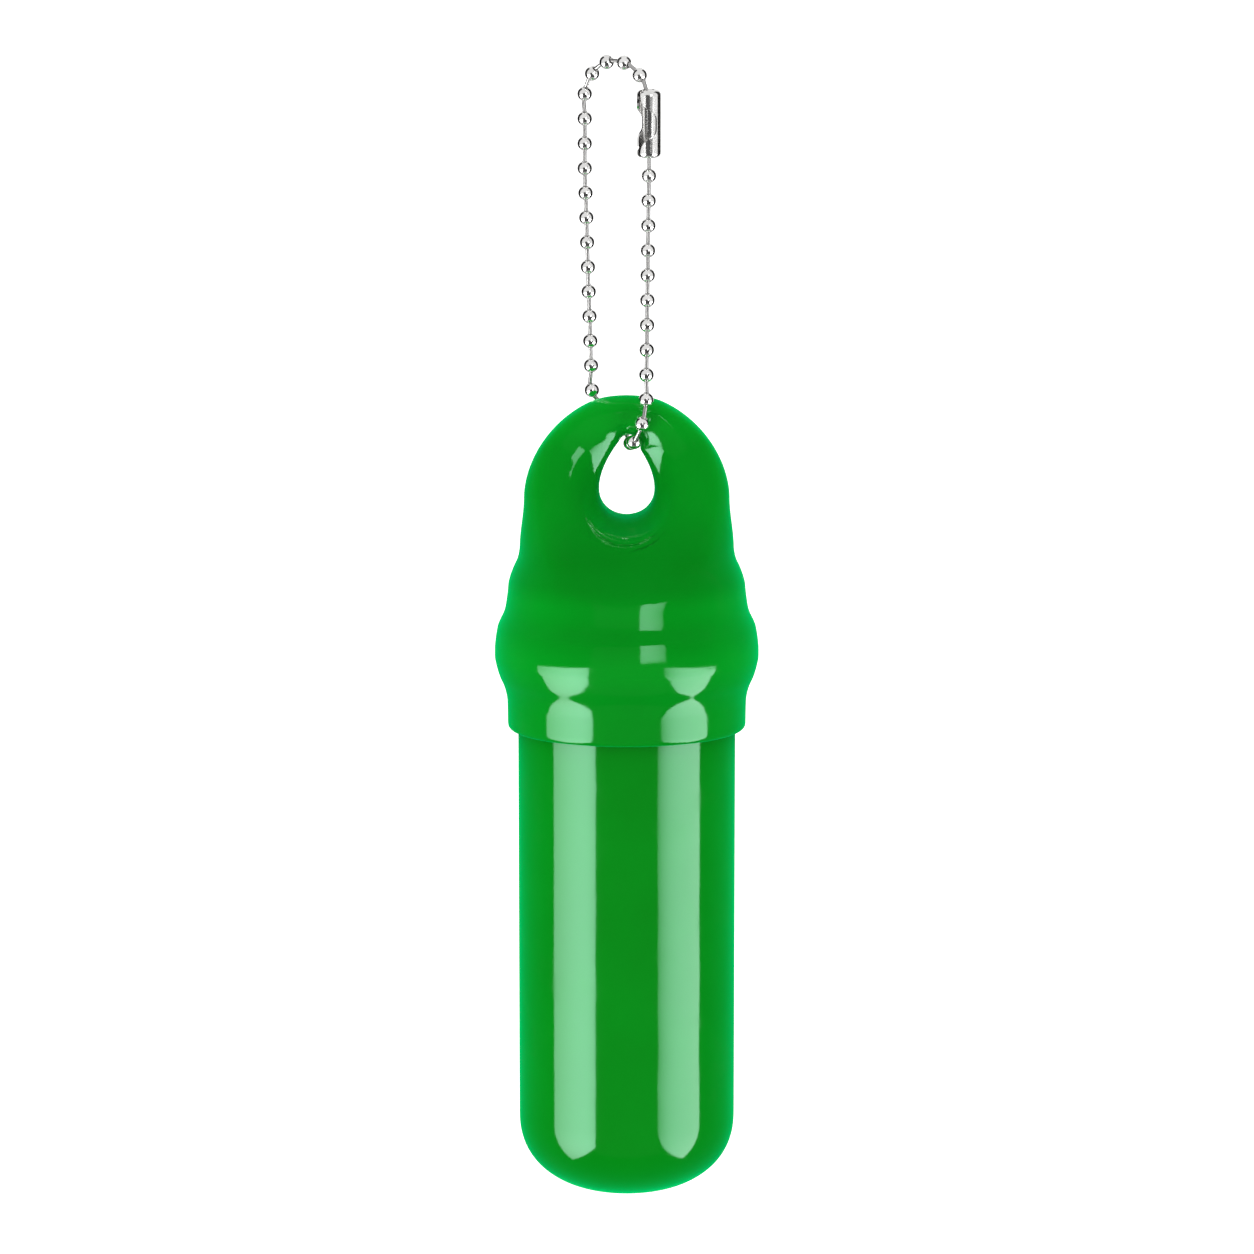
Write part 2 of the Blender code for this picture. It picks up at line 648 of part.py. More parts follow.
def main():
    """Build the container."""
    clear_scene()
    model = new_collection("floating_key_container")
    pivots = new_collection("pivots")
    cutters = new_collection("cutters")
    nickel = new_material("nickel_plated_steel", NICKEL, LINK_ROUGHNESS, 1.0)
    sleeve_nickel = new_material("nickel_plated_sleeve", NICKEL, SLEEVE_ROUGHNESS, 1.0)
    cap_green = new_material("green_vinyl_cap", GREEN, CAP_ROUGHNESS, 0.0)
    tube_green = new_material("green_vinyl_tube", GREEN, TUBE_ROUGHNESS, 0.0)

    beads, bar_height = chain_layout()
    first_pair = ARCH_LINKS + LEFT_LEAD_LINKS
    last_pair = first_pair + STRAND_PAIRS - 1
    meeting = last_pair + len(LEFT_STEP_SHARES)
    links = make_links(beads, meeting, model, cutters, nickel)

    cap_top = bar_height + BAR_HEIGHT / 2
    cap = new_object("cap", cap_mesh(), model, cap_green)
    combine(cap, eye_cutter(cutters), "DIFFERENCE")
    smooth(cap.data)
    cap.location = (AXIS_OFFSET, 0.0, cap_top)

    tube = new_object("tube", turned_mesh("tube", tube_outline(), BODY_SIDES, cutters), model, tube_green)
    smooth(tube.data)
    tube.location = (AXIS_OFFSET, 0.0, cap_top - CAP_HEIGHT + SOCKET_DEPTH - TUBE_LENGTH)

    sleeve_mesh = turned_mesh("connector", connector_outline(), CONNECTOR_SIDES, cutters, closed=True)
    connector = new_object("connector", sleeve_mesh, model, sleeve_nickel)
    combine(connector, connector_mouth(cutters), "DIFFERENCE")
    smooth(connector.data)
    sleeve_place = (beads[0] + beads[-1]) / 2
    connector.location = sleeve_place

    attach(connector, pivot("pivot_connector", sleeve_place, Vector((0.0, 0.0, 1.0)), pivots))
    parent = None
    for pair in range(STRAND_PAIRS + 1):
        left = swivel_point(beads, first_pair + pair, 1)
        right_index = len(beads) - 2 - pair
        right = swivel_point(beads, right_index, -1)
        name = f"pivot_bend_{pair + 1:02d}"
        parent = pivot(name, (left + right) / 2, right - left, pivots, parent)
        attach(links[first_pair + pair], parent)
        attach(links[right_index], parent)
    for index in range(last_pair + 2, meeting + 1):
        attach(links[index], parent)
    eye_top = Vector((AXIS_OFFSET, 0.0, cap_top - BAR_HEIGHT - EYE_TOP_RADIUS))
    swing = pivot("pivot_cap_swing", eye_top, Vector((0.0, 1.0, 0.0)), pivots, parent)
    attach(cap, swing)
    mouth = Vector((AXIS_OFFSET, 0.0, cap_top - CAP_HEIGHT + SOCKET_DEPTH))
    attach(tube, pivot("pivot_tube_pull", mouth, Vector((0.0, 0.0, -1.0)), pivots, swing))


main()
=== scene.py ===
"""Floating key container, hung up for its portrait.

A glossy green vinyl tube and its moulded cap, on a nickel-plated ball chain that runs through the
cap's teardrop eye. Metres, +Z up, front at -Y.
"""
import math

import bmesh
import bpy
import numpy as np
from mathutils import Matrix, Vector


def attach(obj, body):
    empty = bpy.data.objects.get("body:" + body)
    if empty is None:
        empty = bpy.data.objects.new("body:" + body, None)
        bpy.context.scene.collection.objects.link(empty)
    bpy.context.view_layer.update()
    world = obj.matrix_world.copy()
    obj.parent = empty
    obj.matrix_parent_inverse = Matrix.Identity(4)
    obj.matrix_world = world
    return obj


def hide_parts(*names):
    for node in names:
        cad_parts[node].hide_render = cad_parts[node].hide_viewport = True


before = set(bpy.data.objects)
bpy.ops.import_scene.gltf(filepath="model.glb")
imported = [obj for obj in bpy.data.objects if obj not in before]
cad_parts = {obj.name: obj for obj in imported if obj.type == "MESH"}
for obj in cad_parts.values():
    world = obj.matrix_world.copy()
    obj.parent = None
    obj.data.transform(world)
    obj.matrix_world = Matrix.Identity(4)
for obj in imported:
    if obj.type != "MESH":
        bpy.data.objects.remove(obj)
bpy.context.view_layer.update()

# Ball chain.
BEAD_RADIUS = 0.00120
BEAD_WALL = 0.00025
BEAD_HOLE_RADIUS = 0.00051
PIN_RADIUS = 0.00033
PIN_HEAD_RADIUS = 0.00052
PIN_HEAD_LENGTH = 0.00034
PIN_LENGTH = 0.00347
LINK_PITCH = 0.00400
BEAD_STAGES = (0.0, 0.5, 0.56, 0.94, 1.0)
BEAD_EDGE_ROUND = 0.3
PIN_STAGES = (0.0, 0.5, 0.7, 1.0)
PIN_DOME_SHARE = 0.7
SWIVEL_RADIUS = BEAD_RADIUS - BEAD_WALL / 2

# Loop that the chain hangs in.
LOOP_WIDTH = 0.0138
LOOP_TURN = math.radians(42)
STRAND_PAIRS = 10
ARCH_LINKS = 5
ARCH_PITCH_SHARE = 0.94
LEFT_LEAD_LINKS = 3
AXIS_OFFSET = 0.0016
SEAT_OFFSET = 0.0006
RIGHT_FOOT = 0.0031
LEFT_FOOT = -0.0056
SEAT_GAP = 0.00035
SEAT_SHARE = 0.6
RIGHT_STEP_SHARES = (0.0, 0.22, 0.74, 1.0)
LEFT_STEP_SHARES = (0.0, 0.2, 0.6, 1.0)

# Connector.
CONNECTOR_RADIUS = 0.00195
CONNECTOR_WALL = 0.00030
CONNECTOR_LENGTH = 0.0109
CONNECTOR_END_HOLE = 0.00088
CONNECTOR_CORNER = 0.00080
CONNECTOR_BEAD_GAP = 0.00010
CONNECTOR_SEAT_HOLE = 0.00100
CONNECTOR_STAGES = (0.0, 0.72, 0.92, 1.0)
CONNECTOR_MOUTH_TURN = -58.0
CONNECTOR_SLOT = 10.0
FRONT_MOUTH = 88.0
FRONT_REACH = 0.00245
FRONT_POWER = 5.0
BACK_MOUTH = 78.0
BACK_REACH = 0.0022
BACK_POWER = 4.0
CUT_EDGE_START = 0.985
SHARP_ANGLE = math.radians(40)

# Tab of the cap.
BAR_HEIGHT = 0.0066
BAR_THICKNESS = 0.0072
CROWN_DEPTH = 0.0169
CROWN_POWER = 1.85
TAB_WIDTH_SHARE = 0.96
EYE_TOP_RADIUS = 0.00215
EYE_HEIGHT = 0.0133
EYE_SILL_SHARE = 0.5
EYE_TOP_SHARE = 0.58
EYE_EGG_RADIUS = 0.00413
EYE_TAPER = 0.85
EYE_BLEND = 0.12
EYE_SEAT_RADIUS = 0.0017
EYE_SEAT_OFFSET = 0.0005
EYE_RIM_POINTS = 480
EYE_RIM_STEPS = 40
EYE_RIM_MIDDLE_SHARE = 0.45
EYE_CHART_STEP = 0.0001
EYE_CHART_WIDTH = (-0.024, 0.0241)
EYE_CHART_DEPTH = (-0.004, 0.032)
LIP_REACH = 0.0050
LIP_SHARES = ((0.0, 0.0), (0.25, 0.02), (0.45, 0.12), (0.58, 0.28), (0.72, 0.52), (0.86, 0.76),
              (1.0, 1.0))
DENT_DEPTH = 0.0003
DENT_WIDTH = 0.0013
DENT_HEIGHT = 0.0019
DENT_PLACE_SHARE = 0.6
BODY_SHARES = ((0.0, 0.28), (0.16, 0.38), (0.31, 0.48), (0.47, 0.54), (0.68, 0.63),
               (0.81, 0.77), (0.98, 0.98), (1.05, 1.0), (3.0, 1.0))
SCOOP_SHARES = ((0.0, 0.0), (0.3, 0.02), (0.48, 0.12), (0.68, 0.265), (0.81, 0.42), (0.98, 0.7),
                (1.15, 1.0), (1.25, 1.25), (1.4, 1.8), (1.6, 3.0), (3.0, 9.0))

# Grip of the cap.
NECK_DEPTH = 0.0250
CAP_HEIGHT = 0.0543
GRIP_LENGTH = CAP_HEIGHT - NECK_DEPTH
SHOULDER_STEPS = ((0.0, 0.0), (0.033, 0.075), (0.0666, 0.22), (0.10, 0.46), (0.133, 0.67),
                  (0.1666, 0.84), (0.20, 0.96), (0.233, 1.0))
BULGE_STEPS = ((0.30, 0.12), (0.333, 0.20), (0.3665, 0.35), (0.40, 0.58), (0.433, 0.77),
               (0.4665, 0.86), (0.50, 0.93), (0.56, 1.0), (0.60, 1.0), (0.635, 0.92), (0.70, 0.67),
               (0.765, 0.28), (0.80, 0.14), (0.8464, 0.04), (1.0, 0.0))
STOP_SHARE = 0.2253
NECK_INSET = 0.0019
BULGE_RISE = 0.0021
HEM_ROUND = 0.0009
CAP_WALL = 0.0014
STOP_GAP = 0.0003
STOP_LEDGE = 0.0017
DOME_RISE = 0.0056
GROOVE_EASE_SHARE = 0.1
FACE_ROUND = 0.0012
FACE_ROUND_GAIN = 0.0008
FACE_ROUND_DEPTH = 0.008
EYE_ROUND = 0.0012
HOLLOW_ROUND = 0.0003

# Tube.
TUBE_RADIUS = 0.0175
TUBE_WALL = 0.0016
TUBE_LENGTH = 0.0982
TUBE_DRAFT = 0.0002
TUBE_END_HEIGHT = 0.0130
TUBE_END_POWER = 2.3
TUBE_STAGES = (0.0, 0.3, 0.5, 0.56, 0.75, 1.0)
SOCKET_CLEARANCE = 0.0002
STOP_DEPTH = NECK_DEPTH + GRIP_LENGTH * STOP_SHARE
SOCKET_DEPTH = CAP_HEIGHT - STOP_DEPTH - STOP_GAP
SOCKET_RADIUS = TUBE_RADIUS + SOCKET_CLEARANCE
SKIRT_RADIUS = SOCKET_RADIUS + CAP_WALL
NECK_RADIUS = SKIRT_RADIUS - NECK_INSET

# Fineness of the meshes.
BEAD_MESH = (32, 50)
PIN_MESH = (16, 40)
CONNECTOR_MESH = (96, 120)
TUBE_MESH = (128, 200)
CAP_CELL = 0.00042
CAP_MARGIN = 2.5 * CAP_CELL
CAP_RELAX_ROUNDS = 2
STEEPNESS_STEP = 0.00002
OUTLINE_STEEPNESS = 4.0
SLOPE_STEP = 0.00004
LEAST_SLOPE_SQUARE = 0.05
LONGEST_MOVE = 0.5 * CAP_CELL
SOLVER_STEPS = 60
TINY = 1e-6

# Finishes: colours are linear, and the cap's green is lightened and darkened by its height as
# painted light and shade: lighter on the crown, shoulder and bulge, and painted shade under the
# eye.
CAP_CLOUD_AND_PAINTED_LIGHT = (0.002, 0.370, 0.015)
CAP_CLOUD_AND_PAINTED_SHADE = (0.002, 0.225, 0.007)
TUBE_LIGHT = (0.002, 0.280, 0.008)
TUBE_DEEP = (0.002, 0.245, 0.006)
PAINTED_LIGHT_AND_SHADE_WEIGHT = 0.75
PAINTED_LIGHT_AND_SHADE_SHARES = ((0.0, 1.0), (0.09, 0.95), (0.16, 0.6), (0.30, 0.5), (0.40, 0.2), (0.47, 0.0),
               (0.53, 0.05), (0.60, 0.65), (0.67, 0.4), (0.77, 0.85), (0.86, 0.5), (1.0, 0.5))
VINYL_INDEX = 1.54
VINYL_REFLECTION = (0.55, 1.0, 0.80, 1.0)
VINYL_SHEEN = (0.0, 1.0, 0.28, 1.0)
VINYL_SHEEN_ROUGHNESS = 0.36
VINYL_ROUGHNESS = 0.07
# The creases below the eye are bumped, and darkened with painted shade in their lines.
CREASE_PAINTED_SHADE = (0.001, 0.150, 0.004)
CREASE_PAINTED_SHADE_SHARE = 0.8
CREASE_RADIUS = 0.0072
CREASE_SPACING = 0.0008
CREASE_WAVER = 1.6
CREASE_THINNESS = 5.0
NICKEL_DARK = (0.76, 0.755, 0.745)
NICKEL_LIGHT = (0.88, 0.875, 0.865)
PIN_COLOUR = (0.42, 0.415, 0.41)
# The sleeve's cut edge is painted near white as a painted highlight, and is also made rougher.
CUT_EDGE_PAINTED_HIGHLIGHT = (0.97, 0.965, 0.955)
PIN_EXTRA_ROUGHNESS = 0.22
CUT_EDGE_EXTRA_ROUGHNESS = 0.35
LINK_ROUGHNESS = 0.10
SLEEVE_ROUGHNESS = 0.14

# Camera: level distances from the photograph's scale.
PICTURE_WIDTH = 0.2014
PICTURE_CENTRE = Vector((0.00164, 0.0, -0.0902))
CAMERA_DISTANCE = 2.2
CAMERA_RISE = math.radians(9.5)
SENSOR = 36.0

# Studio: the front lamp and card stand by azimuth, elevation and distance from the aim.
STAGE_AIM = Vector((0.0016, 0.0, -0.10))
WHITE = (1.0, 1.0, 1.0, 1.0)
ROOM_BACK = 1.5
ROOM_ABOVE = 1.1
ROOM_FRONT = 0.39
FLOOR_LEVEL = -0.30
FLOOR_SIZE = 8.0
FLOOR_PAINT = (0.95, 0.95, 0.95, 1.0)
FLOOR_GLOW = 0.45
TENT_RADIUS = 1.6
TENT_STEP = (-1.25, -0.9)
TENT_LOW = 0.48
TENT_RISE = 0.42
BOX_SIDE = 0.60
BOX_REAR = -0.07
BOX_TOP = -0.19
BOX_LIGHT_SHARE = 0.42
CARD_PLACE = (0.40, 0.25, 0.135)
CARD_SIZE = (0.51, 1.23)
FRONT_BOX_PLACE = (23.0, 15.5, 0.8)
FRONT_BOX_SIZE = (0.30, 0.35)
FRONT_CARD_PLACE = (2.5, -15.0, 0.95)
FRONT_CARD_SIZE = (1.30, 1.38)
FRONT_CARD_LEVEL = 0.08
FLAG_OFFSET = Vector((0.028, -0.050, 0.051))
FLAG_SIZE = (0.022, 0.036)


# Wires: sockets that take part in Python expressions.

def operator(operation, swapped=False):
    """A Python operator that adds a Math node on a wire and another value."""
    def applied(wire, other):
        pair = (other, wire) if swapped else (wire, other)
        return wire.graph.add("ShaderNodeMath", pair, operation=operation)
    return applied


def method(operation):
    """A method that adds a Math node on a wire alone."""
    return lambda wire: wire.math(operation)


class Wire:
    """A node's output. Operators and methods on it add Math nodes, with angles in radians."""

    __add__ = __radd__ = operator("ADD")
    __mul__ = __rmul__ = operator("MULTIPLY")
    __sub__, __rsub__ = operator("SUBTRACT"), operator("SUBTRACT", swapped=True)
    __truediv__, __rtruediv__ = operator("DIVIDE"), operator("DIVIDE", swapped=True)
    __pow__ = operator("POWER")
    sin, cos = method("SINE"), method("COSINE")
    abs, sign = method("ABSOLUTE"), method("SIGN")

    def __init__(self, graph, socket):
        self.graph = graph
        self.socket = socket

    def __neg__(self):
        return self * -1.0

    def math(self, operation, *others, clamp=False):
        """A Math node on this value and others."""
        values = (self, *others)
        return self.graph.add("ShaderNodeMath", values, operation=operation, use_clamp=clamp)

    def between(self, low, high):
        """0 at low or before it, 1 at high or after it, and straight between them."""
        return ((self - low) / (high - low)).math("ADD", 0.0, clamp=True)

    def stages(self, stops):
        """For each stretch between neighbouring stops, how far the value has come along it."""
        return [self.between(low, high) for low, high in zip(stops, stops[1:])]

    def eased(self, low, high):
        """As between, with a soft start and end."""
        share = self.between(low, high)
        return share * share * (3.0 - 2.0 * share)


class Graph:
    """A node tree that is built by calls."""

    def __init__(self, tree):
        self.tree = tree

    def add(self, kind, values=(), output=0, **settings):
        """A node: its settings first, then its sockets by place or name; returns one output."""
        node = self.tree.nodes.new(kind)
        for name, setting in settings.items():
            setattr(node, name, setting)
        pairs = values.items() if isinstance(values, dict) else enumerate(values)
        for key, value in pairs:
            self.feed(node.inputs[key], value)
        return Wire(self, node.outputs[output])

    def feed(self, socket, value):
        """Link a wire to a socket, or set the socket's own value."""
        if isinstance(value, Wire):
            self.tree.links.new(value.socket, socket)
        else:
            socket.default_value = value

    def parts(self, vector):
        """The three numbers of a vector."""
        node = self.add("ShaderNodeSeparateXYZ", (vector,)).socket.node
        return [Wire(self, outlet) for outlet in node.outputs]

    def white(self, level):
        """White light of a level."""
        return self.add("ShaderNodeEmission", {"Color": WHITE, "Strength": level})

    def show(self, shader, kind="ShaderNodeOutputMaterial"):
        """Link a shader to the tree's output."""
        self.feed(self.tree.nodes.new(kind).inputs["Surface"], shader)


# Geometry Nodes.

class Shape(Graph):
    """A Geometry Nodes tree with named inputs."""

    def __init__(self, name, sizes):
        tree = bpy.data.node_groups.new(name, "GeometryNodeTree")
        super().__init__(tree)
        self.socket("Geometry", "Geometry")
        self.identifiers = {label: self.socket(label, "Float", value)
                            for label, value in sizes.items()}
        self.identifiers["Finish"] = self.socket("Finish", "Material")
        self.socket("Geometry", "Geometry", way="OUTPUT")
        self.sizes = dict(sizes)
        self.source = tree.nodes.new("NodeGroupInput")
        self.sink = tree.nodes.new("NodeGroupOutput")

    def socket(self, label, kind, value=None, way="INPUT"):
        """A new input or output of the tree; returns its identifier."""
        sockets = self.tree.interface
        socket = sockets.new_socket(name=label, in_out=way, socket_type=f"NodeSocket{kind}")
        if value is not None:
            socket.default_value = value
        return socket.identifier

    def given(self, label):
        """The wire of a named input."""
        return Wire(self, self.source.outputs[label])

    def flat(self, around, along):
        """A flat grid to bend into a skin, with so many faces each way."""
        return self.add("GeometryNodeMeshGrid", {"Size X": 1.0, "Size Y": 1.0,
                                                 "Vertices X": around + 1, "Vertices Y": along + 1})

    def shares(self):
        """How far a grid's point lies across it and along it, from 0 to 1."""
        across, forward, _ = self.parts(self.add("GeometryNodeInputPosition"))
        return across + 0.5, forward + 0.5

    def bent(self, grid, angle, radius, height):
        """The grid's points put at an angle from +X, a radius and a height."""
        spot = (radius * angle.cos(), radius * angle.sin(), height)
        place = self.add("ShaderNodeCombineXYZ", spot)
        return self.add("GeometryNodeSetPosition", {"Geometry": grid, "Position": place})

    def turned(self, outline, around, along):
        """A turned skin. The outline gives radius and height for a share that runs from 0 to 1."""
        across, forward = self.shares()
        radius, height = outline(forward)
        skin = self.bent(self.flat(around, along), across * (2 * math.pi), radius, height)
        return self.add("GeometryNodeMergeByDistance", {"Geometry": skin, "Distance": TINY})

    def ends(self, geometry):
        """Realize, shade smooth, give the finish, and hand over."""
        real = self.add("GeometryNodeRealizeInstances", {"Geometry": geometry})
        soft = self.add("GeometryNodeSetShadeSmooth", {"Geometry": real})
        done = self.add("GeometryNodeSetMaterial",
                        {"Geometry": soft, "Material": self.given("Finish")})
        self.feed(self.sink.inputs[0], done)

    def mesh(self, name, finish, start=None):
        """A plain mesh object from this tree, on a starting mesh or on nothing."""
        item = new_object(name, start or bpy.data.meshes.new(name))
        modifier = item.modifiers.new("Shape", "NODES")
        modifier.node_group = self.tree
        for label, value in self.sizes.items():
            modifier[self.identifiers[label]] = value
        modifier[self.identifiers["Finish"]] = finish
        return settle(item)


def new_object(name, data):
    """An object at the origin, in the scene."""
    item = bpy.data.objects.new(name, data)
    bpy.context.scene.collection.objects.link(item)
    return item


def settle(item):
    """Turn what an object's modifiers make into its own plain mesh."""
    bpy.context.view_layer.update()
    graph = bpy.context.evaluated_depsgraph_get()
    made = bpy.data.meshes.new_from_object(item.evaluated_get(graph))
    old = item.data
    item.modifiers.clear()
    item.data = made
    made.name = item.name
    bpy.data.meshes.remove(old)
    return item


def bead_outline(radius, wall, hole):
    """A hollow bead's wall: up its outside, over a rolled edge, and down inside."""
    def outline(share):
        up, over, down, under = share.stages(BEAD_STAGES)
        edge = (hole / radius).math("ARCSINE")
        inner_edge = (hole / (radius - wall)).math("ARCSINE")
        sweep = math.pi - 2.0 * edge
        inner_sweep = math.pi - 2.0 * inner_edge
        rounding = (over * math.pi).sin() - (under * math.pi).sin()
        turn = (edge + sweep * up + rounding * wall * BEAD_EDGE_ROUND / radius
                + (edge - inner_edge) * (over + under) - inner_sweep * down)
        reach = radius - wall * over + wall * under
        return reach * turn.sin(), -(reach * turn.cos())
    return outline


def pin_outline(radius, head, head_length, length):
    """A dumb-bell pin: domed heads on a straight shank."""
    def outline(share):
        side = share * 2.0 - 1.0
        dome, collar, shank = (1.0 - side.abs()).stages(PIN_STAGES)
        turn = dome * (math.pi / 2)
        across = head * turn.sin() - (head - radius) * collar * collar
        down = head_length * ((1.0 - turn.cos()) * PIN_DOME_SHARE + collar * (1.0 - PIN_DOME_SHARE))
        rest = (length / 2.0 - head_length) * shank
        return across, side.sign() * (length / 2.0 - down - rest)
    return outline


def ball_chain():
    """The tree that strings beads and pins on a mesh's points, by their attribute 'lie'."""
    shape = Shape("ball_chain", {"Bead Radius": BEAD_RADIUS, "Bead Wall": BEAD_WALL,
                                 "Hole Radius": BEAD_HOLE_RADIUS, "Pin Radius": PIN_RADIUS,
                                 "Pin Head Radius": PIN_HEAD_RADIUS,
                                 "Pin Head Length": PIN_HEAD_LENGTH, "Pin Length": PIN_LENGTH})
    sizes = [shape.given(label) for label in shape.sizes]
    bead = shape.turned(bead_outline(*sizes[:3]), *BEAD_MESH)
    pin = shape.turned(pin_outline(*sizes[3:]), *PIN_MESH)
    lie = shape.add("GeometryNodeInputNamedAttribute", {"Name": "lie"}, data_type="FLOAT_VECTOR")
    is_pin = shape.add("GeometryNodeInputNamedAttribute", {"Name": "is_pin"}, data_type="FLOAT")
    turn = shape.add("FunctionNodeAlignRotationToVector", {"Vector": lie}, axis="Z")
    joined = shape.add("GeometryNodeJoinGeometry")
    for item, chosen in ((bead, 1.0 - is_pin), (pin, is_pin)):
        strung = shape.add("GeometryNodeInstanceOnPoints",
                           {"Points": shape.given("Geometry"), "Selection": chosen,
                            "Instance": item, "Rotation": turn})
        shape.tree.links.new(strung.socket, joined.socket.node.inputs[0])
    shape.ends(joined)
    return shape


def closed_tube():
    """The tree of the vinyl tube: a round-bottomed turned shell with a rolled lip."""
    shape = Shape("closed_tube", {"Radius": TUBE_RADIUS, "Wall": TUBE_WALL, "Length": TUBE_LENGTH,
                                  "Draft": TUBE_DRAFT, "End Height": TUBE_END_HEIGHT,
                                  "End Power": TUBE_END_POWER, "Foot Height": 0.0})
    radius, wall, length = shape.given("Radius"), shape.given("Wall"), shape.given("Length")
    draft, end = shape.given("Draft"), shape.given("End Height")
    power = 2.0 / shape.given("End Power")

    def rounded(part):
        """A sine or cosine bent to the power of the round end."""
        return part.math("MAXIMUM", 0.0) ** power

    def outline(share):
        bottom, rise, lip, fall, floor = share.stages(TUBE_STAGES)
        bottom, lip, floor = bottom * (math.pi / 2), lip * math.pi, floor * (math.pi / 2)
        outside = (radius - draft) * rounded(bottom.sin()) + draft * rise
        rim = wall / 2.0 * (1.0 - lip.cos())
        inside = draft * fall + (radius - wall - draft) * (1.0 - rounded(floor.cos()))
        straight = length - end - wall / 2.0
        up = end * (1.0 - rounded(bottom.cos())) + straight * rise
        over = wall / 2.0 * lip.sin()
        down = straight * fall + (end - wall) * rounded(floor.sin())
        return outside - rim - inside, shape.given("Foot Height") + up + over - down
    shape.ends(shape.turned(outline, *TUBE_MESH))
    return shape


def sleeve():
    """The tree of the connector: a sheet rolled round the chain, with a mouth at mid-length."""
    shape = Shape("rolled_sleeve", {"Radius": CONNECTOR_RADIUS, "Length": CONNECTOR_LENGTH,
                                    "Corner": CONNECTOR_CORNER, "End Hole": CONNECTOR_END_HOLE,
                                    "Mouth Turn": CONNECTOR_MOUTH_TURN, "Slot": CONNECTOR_SLOT,
                                    "Front Mouth": FRONT_MOUTH, "Front Reach": FRONT_REACH,
                                    "Back Mouth": BACK_MOUTH, "Back Reach": BACK_REACH})
    radius, corner = shape.given("Radius"), shape.given("Corner")
    across, forward = shape.shares()
    side = forward * 2.0 - 1.0
    wall, curl, disc = side.abs().stages(CONNECTOR_STAGES)
    curl = curl * (math.pi / 2)
    height = side.sign() * ((shape.given("Length") / 2.0 - corner) * wall + corner * curl.sin())
    reach = (radius - corner * (1.0 - curl.cos())
             - (radius - corner - shape.given("End Hole")) * disc)
    centre, slot = shape.given("Mouth Turn"), shape.given("Slot")

    def mouth(label, power):
        """How far the mouth's edge on one side stands from the slot at a height, in degrees."""
        reached = height.abs() / shape.given(f"{label} Reach")
        return shape.given(f"{label} Mouth") / (1.0 + reached ** power)
    front = centre + slot + mouth("Front", FRONT_POWER)
    back = centre - slot - mouth("Back", BACK_POWER)
    angle = (front + (360.0 + back - front) * across - 90.0) * math.radians(1)
    rolled = shape.bent(shape.flat(*CONNECTOR_MESH), angle, reach, height)
    # A band along the cut edges, for a rougher finish and a painted highlight there.
    cut = ((across - 0.5) * 2.0).abs().between(CUT_EDGE_START, 1.0)
    shape.ends(shape.add("GeometryNodeStoreNamedAttribute",
                         {"Geometry": rolled, "Name": "cut", "Value": cut}))
    return shape


# Where the chain runs.

def solve(function, low, high):
    """The place between two bounds where a rising function is zero."""
    for _ in range(SOLVER_STEPS):
        middle = (low + high) / 2
        if function(middle) < 0:
            low = middle
        else:
            high = middle
    return (low + high) / 2


def wrap_point(turn, across):
    """The chain's centre line round the bar, by the turn from straight below towards the front."""
    aside = min(abs(across), EYE_TOP_RADIUS * SEAT_SHARE)
    sag = EYE_TOP_RADIUS - math.sqrt(EYE_TOP_RADIUS ** 2 - aside ** 2)
    reach = BAR_THICKNESS / 2 + BEAD_RADIUS + SEAT_GAP
    drop = BAR_HEIGHT / 2 + BEAD_RADIUS + SEAT_GAP + sag
    quarter = math.pi / 2
    if abs(turn) <= quarter:
        return -reach * math.sin(turn), -drop * math.cos(turn)
    return math.copysign(reach, -turn), drop * (abs(turn) - quarter)


def wrap_strand(seat_turn, foot, step_shares):
    """Bead places relative to the bar, from the seat bead out to a strand's foot."""
    side = -1 if foot < 0 else 1
    turn = seat_turn
    across = [SEAT_OFFSET + (foot - SEAT_OFFSET) * share for share in step_shares]
    places = [Vector((across[0], *wrap_point(turn, across[0])))]
    for after in across[1:]:
        turn += side * solve(lambda more: (Vector((after, *wrap_point(turn + side * more, after)))
                                           - places[-1]).length - LINK_PITCH, 0.0, math.pi)
        places.append(Vector((after, *wrap_point(turn, after))))
    return places


def eye_beads():
    """Beads round the bar, back foot to front foot, with both feet at one height."""
    def unevenness(turn):
        return (wrap_strand(turn, RIGHT_FOOT, RIGHT_STEP_SHARES)[-1].z
                - wrap_strand(turn, LEFT_FOOT, LEFT_STEP_SHARES)[-1].z)
    seat_turn = solve(unevenness, -math.pi / 4, math.pi / 4)
    left = wrap_strand(seat_turn, LEFT_FOOT, LEFT_STEP_SHARES)
    right = wrap_strand(seat_turn, RIGHT_FOOT, RIGHT_STEP_SHARES)
    return left[::-1] + right[1:]


def strand_up(foot, top):
    """Beads from a strand's foot up to its topmost pair, over the plan place of its top."""
    lean = Vector((top[0] - foot.x, top[1] - foot.y, 0.0)) / (STRAND_PAIRS - 1)
    rise = math.sqrt(LINK_PITCH ** 2 - lean.length ** 2)
    return [foot + k * (lean + Vector((0.0, 0.0, rise))) for k in range(STRAND_PAIRS)]


def arch_beads(first, last):
    """Beads of the arch between its two end beads, on a circle with an even chord."""
    chord = LINK_PITCH * ARCH_PITCH_SHARE
    span = last - first

    def shortfall(angle):
        return span.length - chord * math.sin(ARCH_LINKS * angle / 2) / math.sin(angle / 2)
    turn = solve(shortfall, TINY, 2 * math.pi / ARCH_LINKS)
    radius = chord / (2 * math.sin(turn / 2))
    along = span.normalized()
    level = Vector((span.x, span.y, 0.0)).normalized()
    upright = level.cross(Vector((0.0, 0.0, 1.0))).cross(along).normalized()
    if upright.z < 0:
        upright.negate()
    centre = (first + last) / 2 - upright * radius * math.cos(ARCH_LINKS * turn / 2)
    angles = [(k - ARCH_LINKS / 2) * turn for k in range(1, ARCH_LINKS)]
    return [centre + along * radius * math.sin(angle) + upright * radius * math.cos(angle)
            for angle in angles]


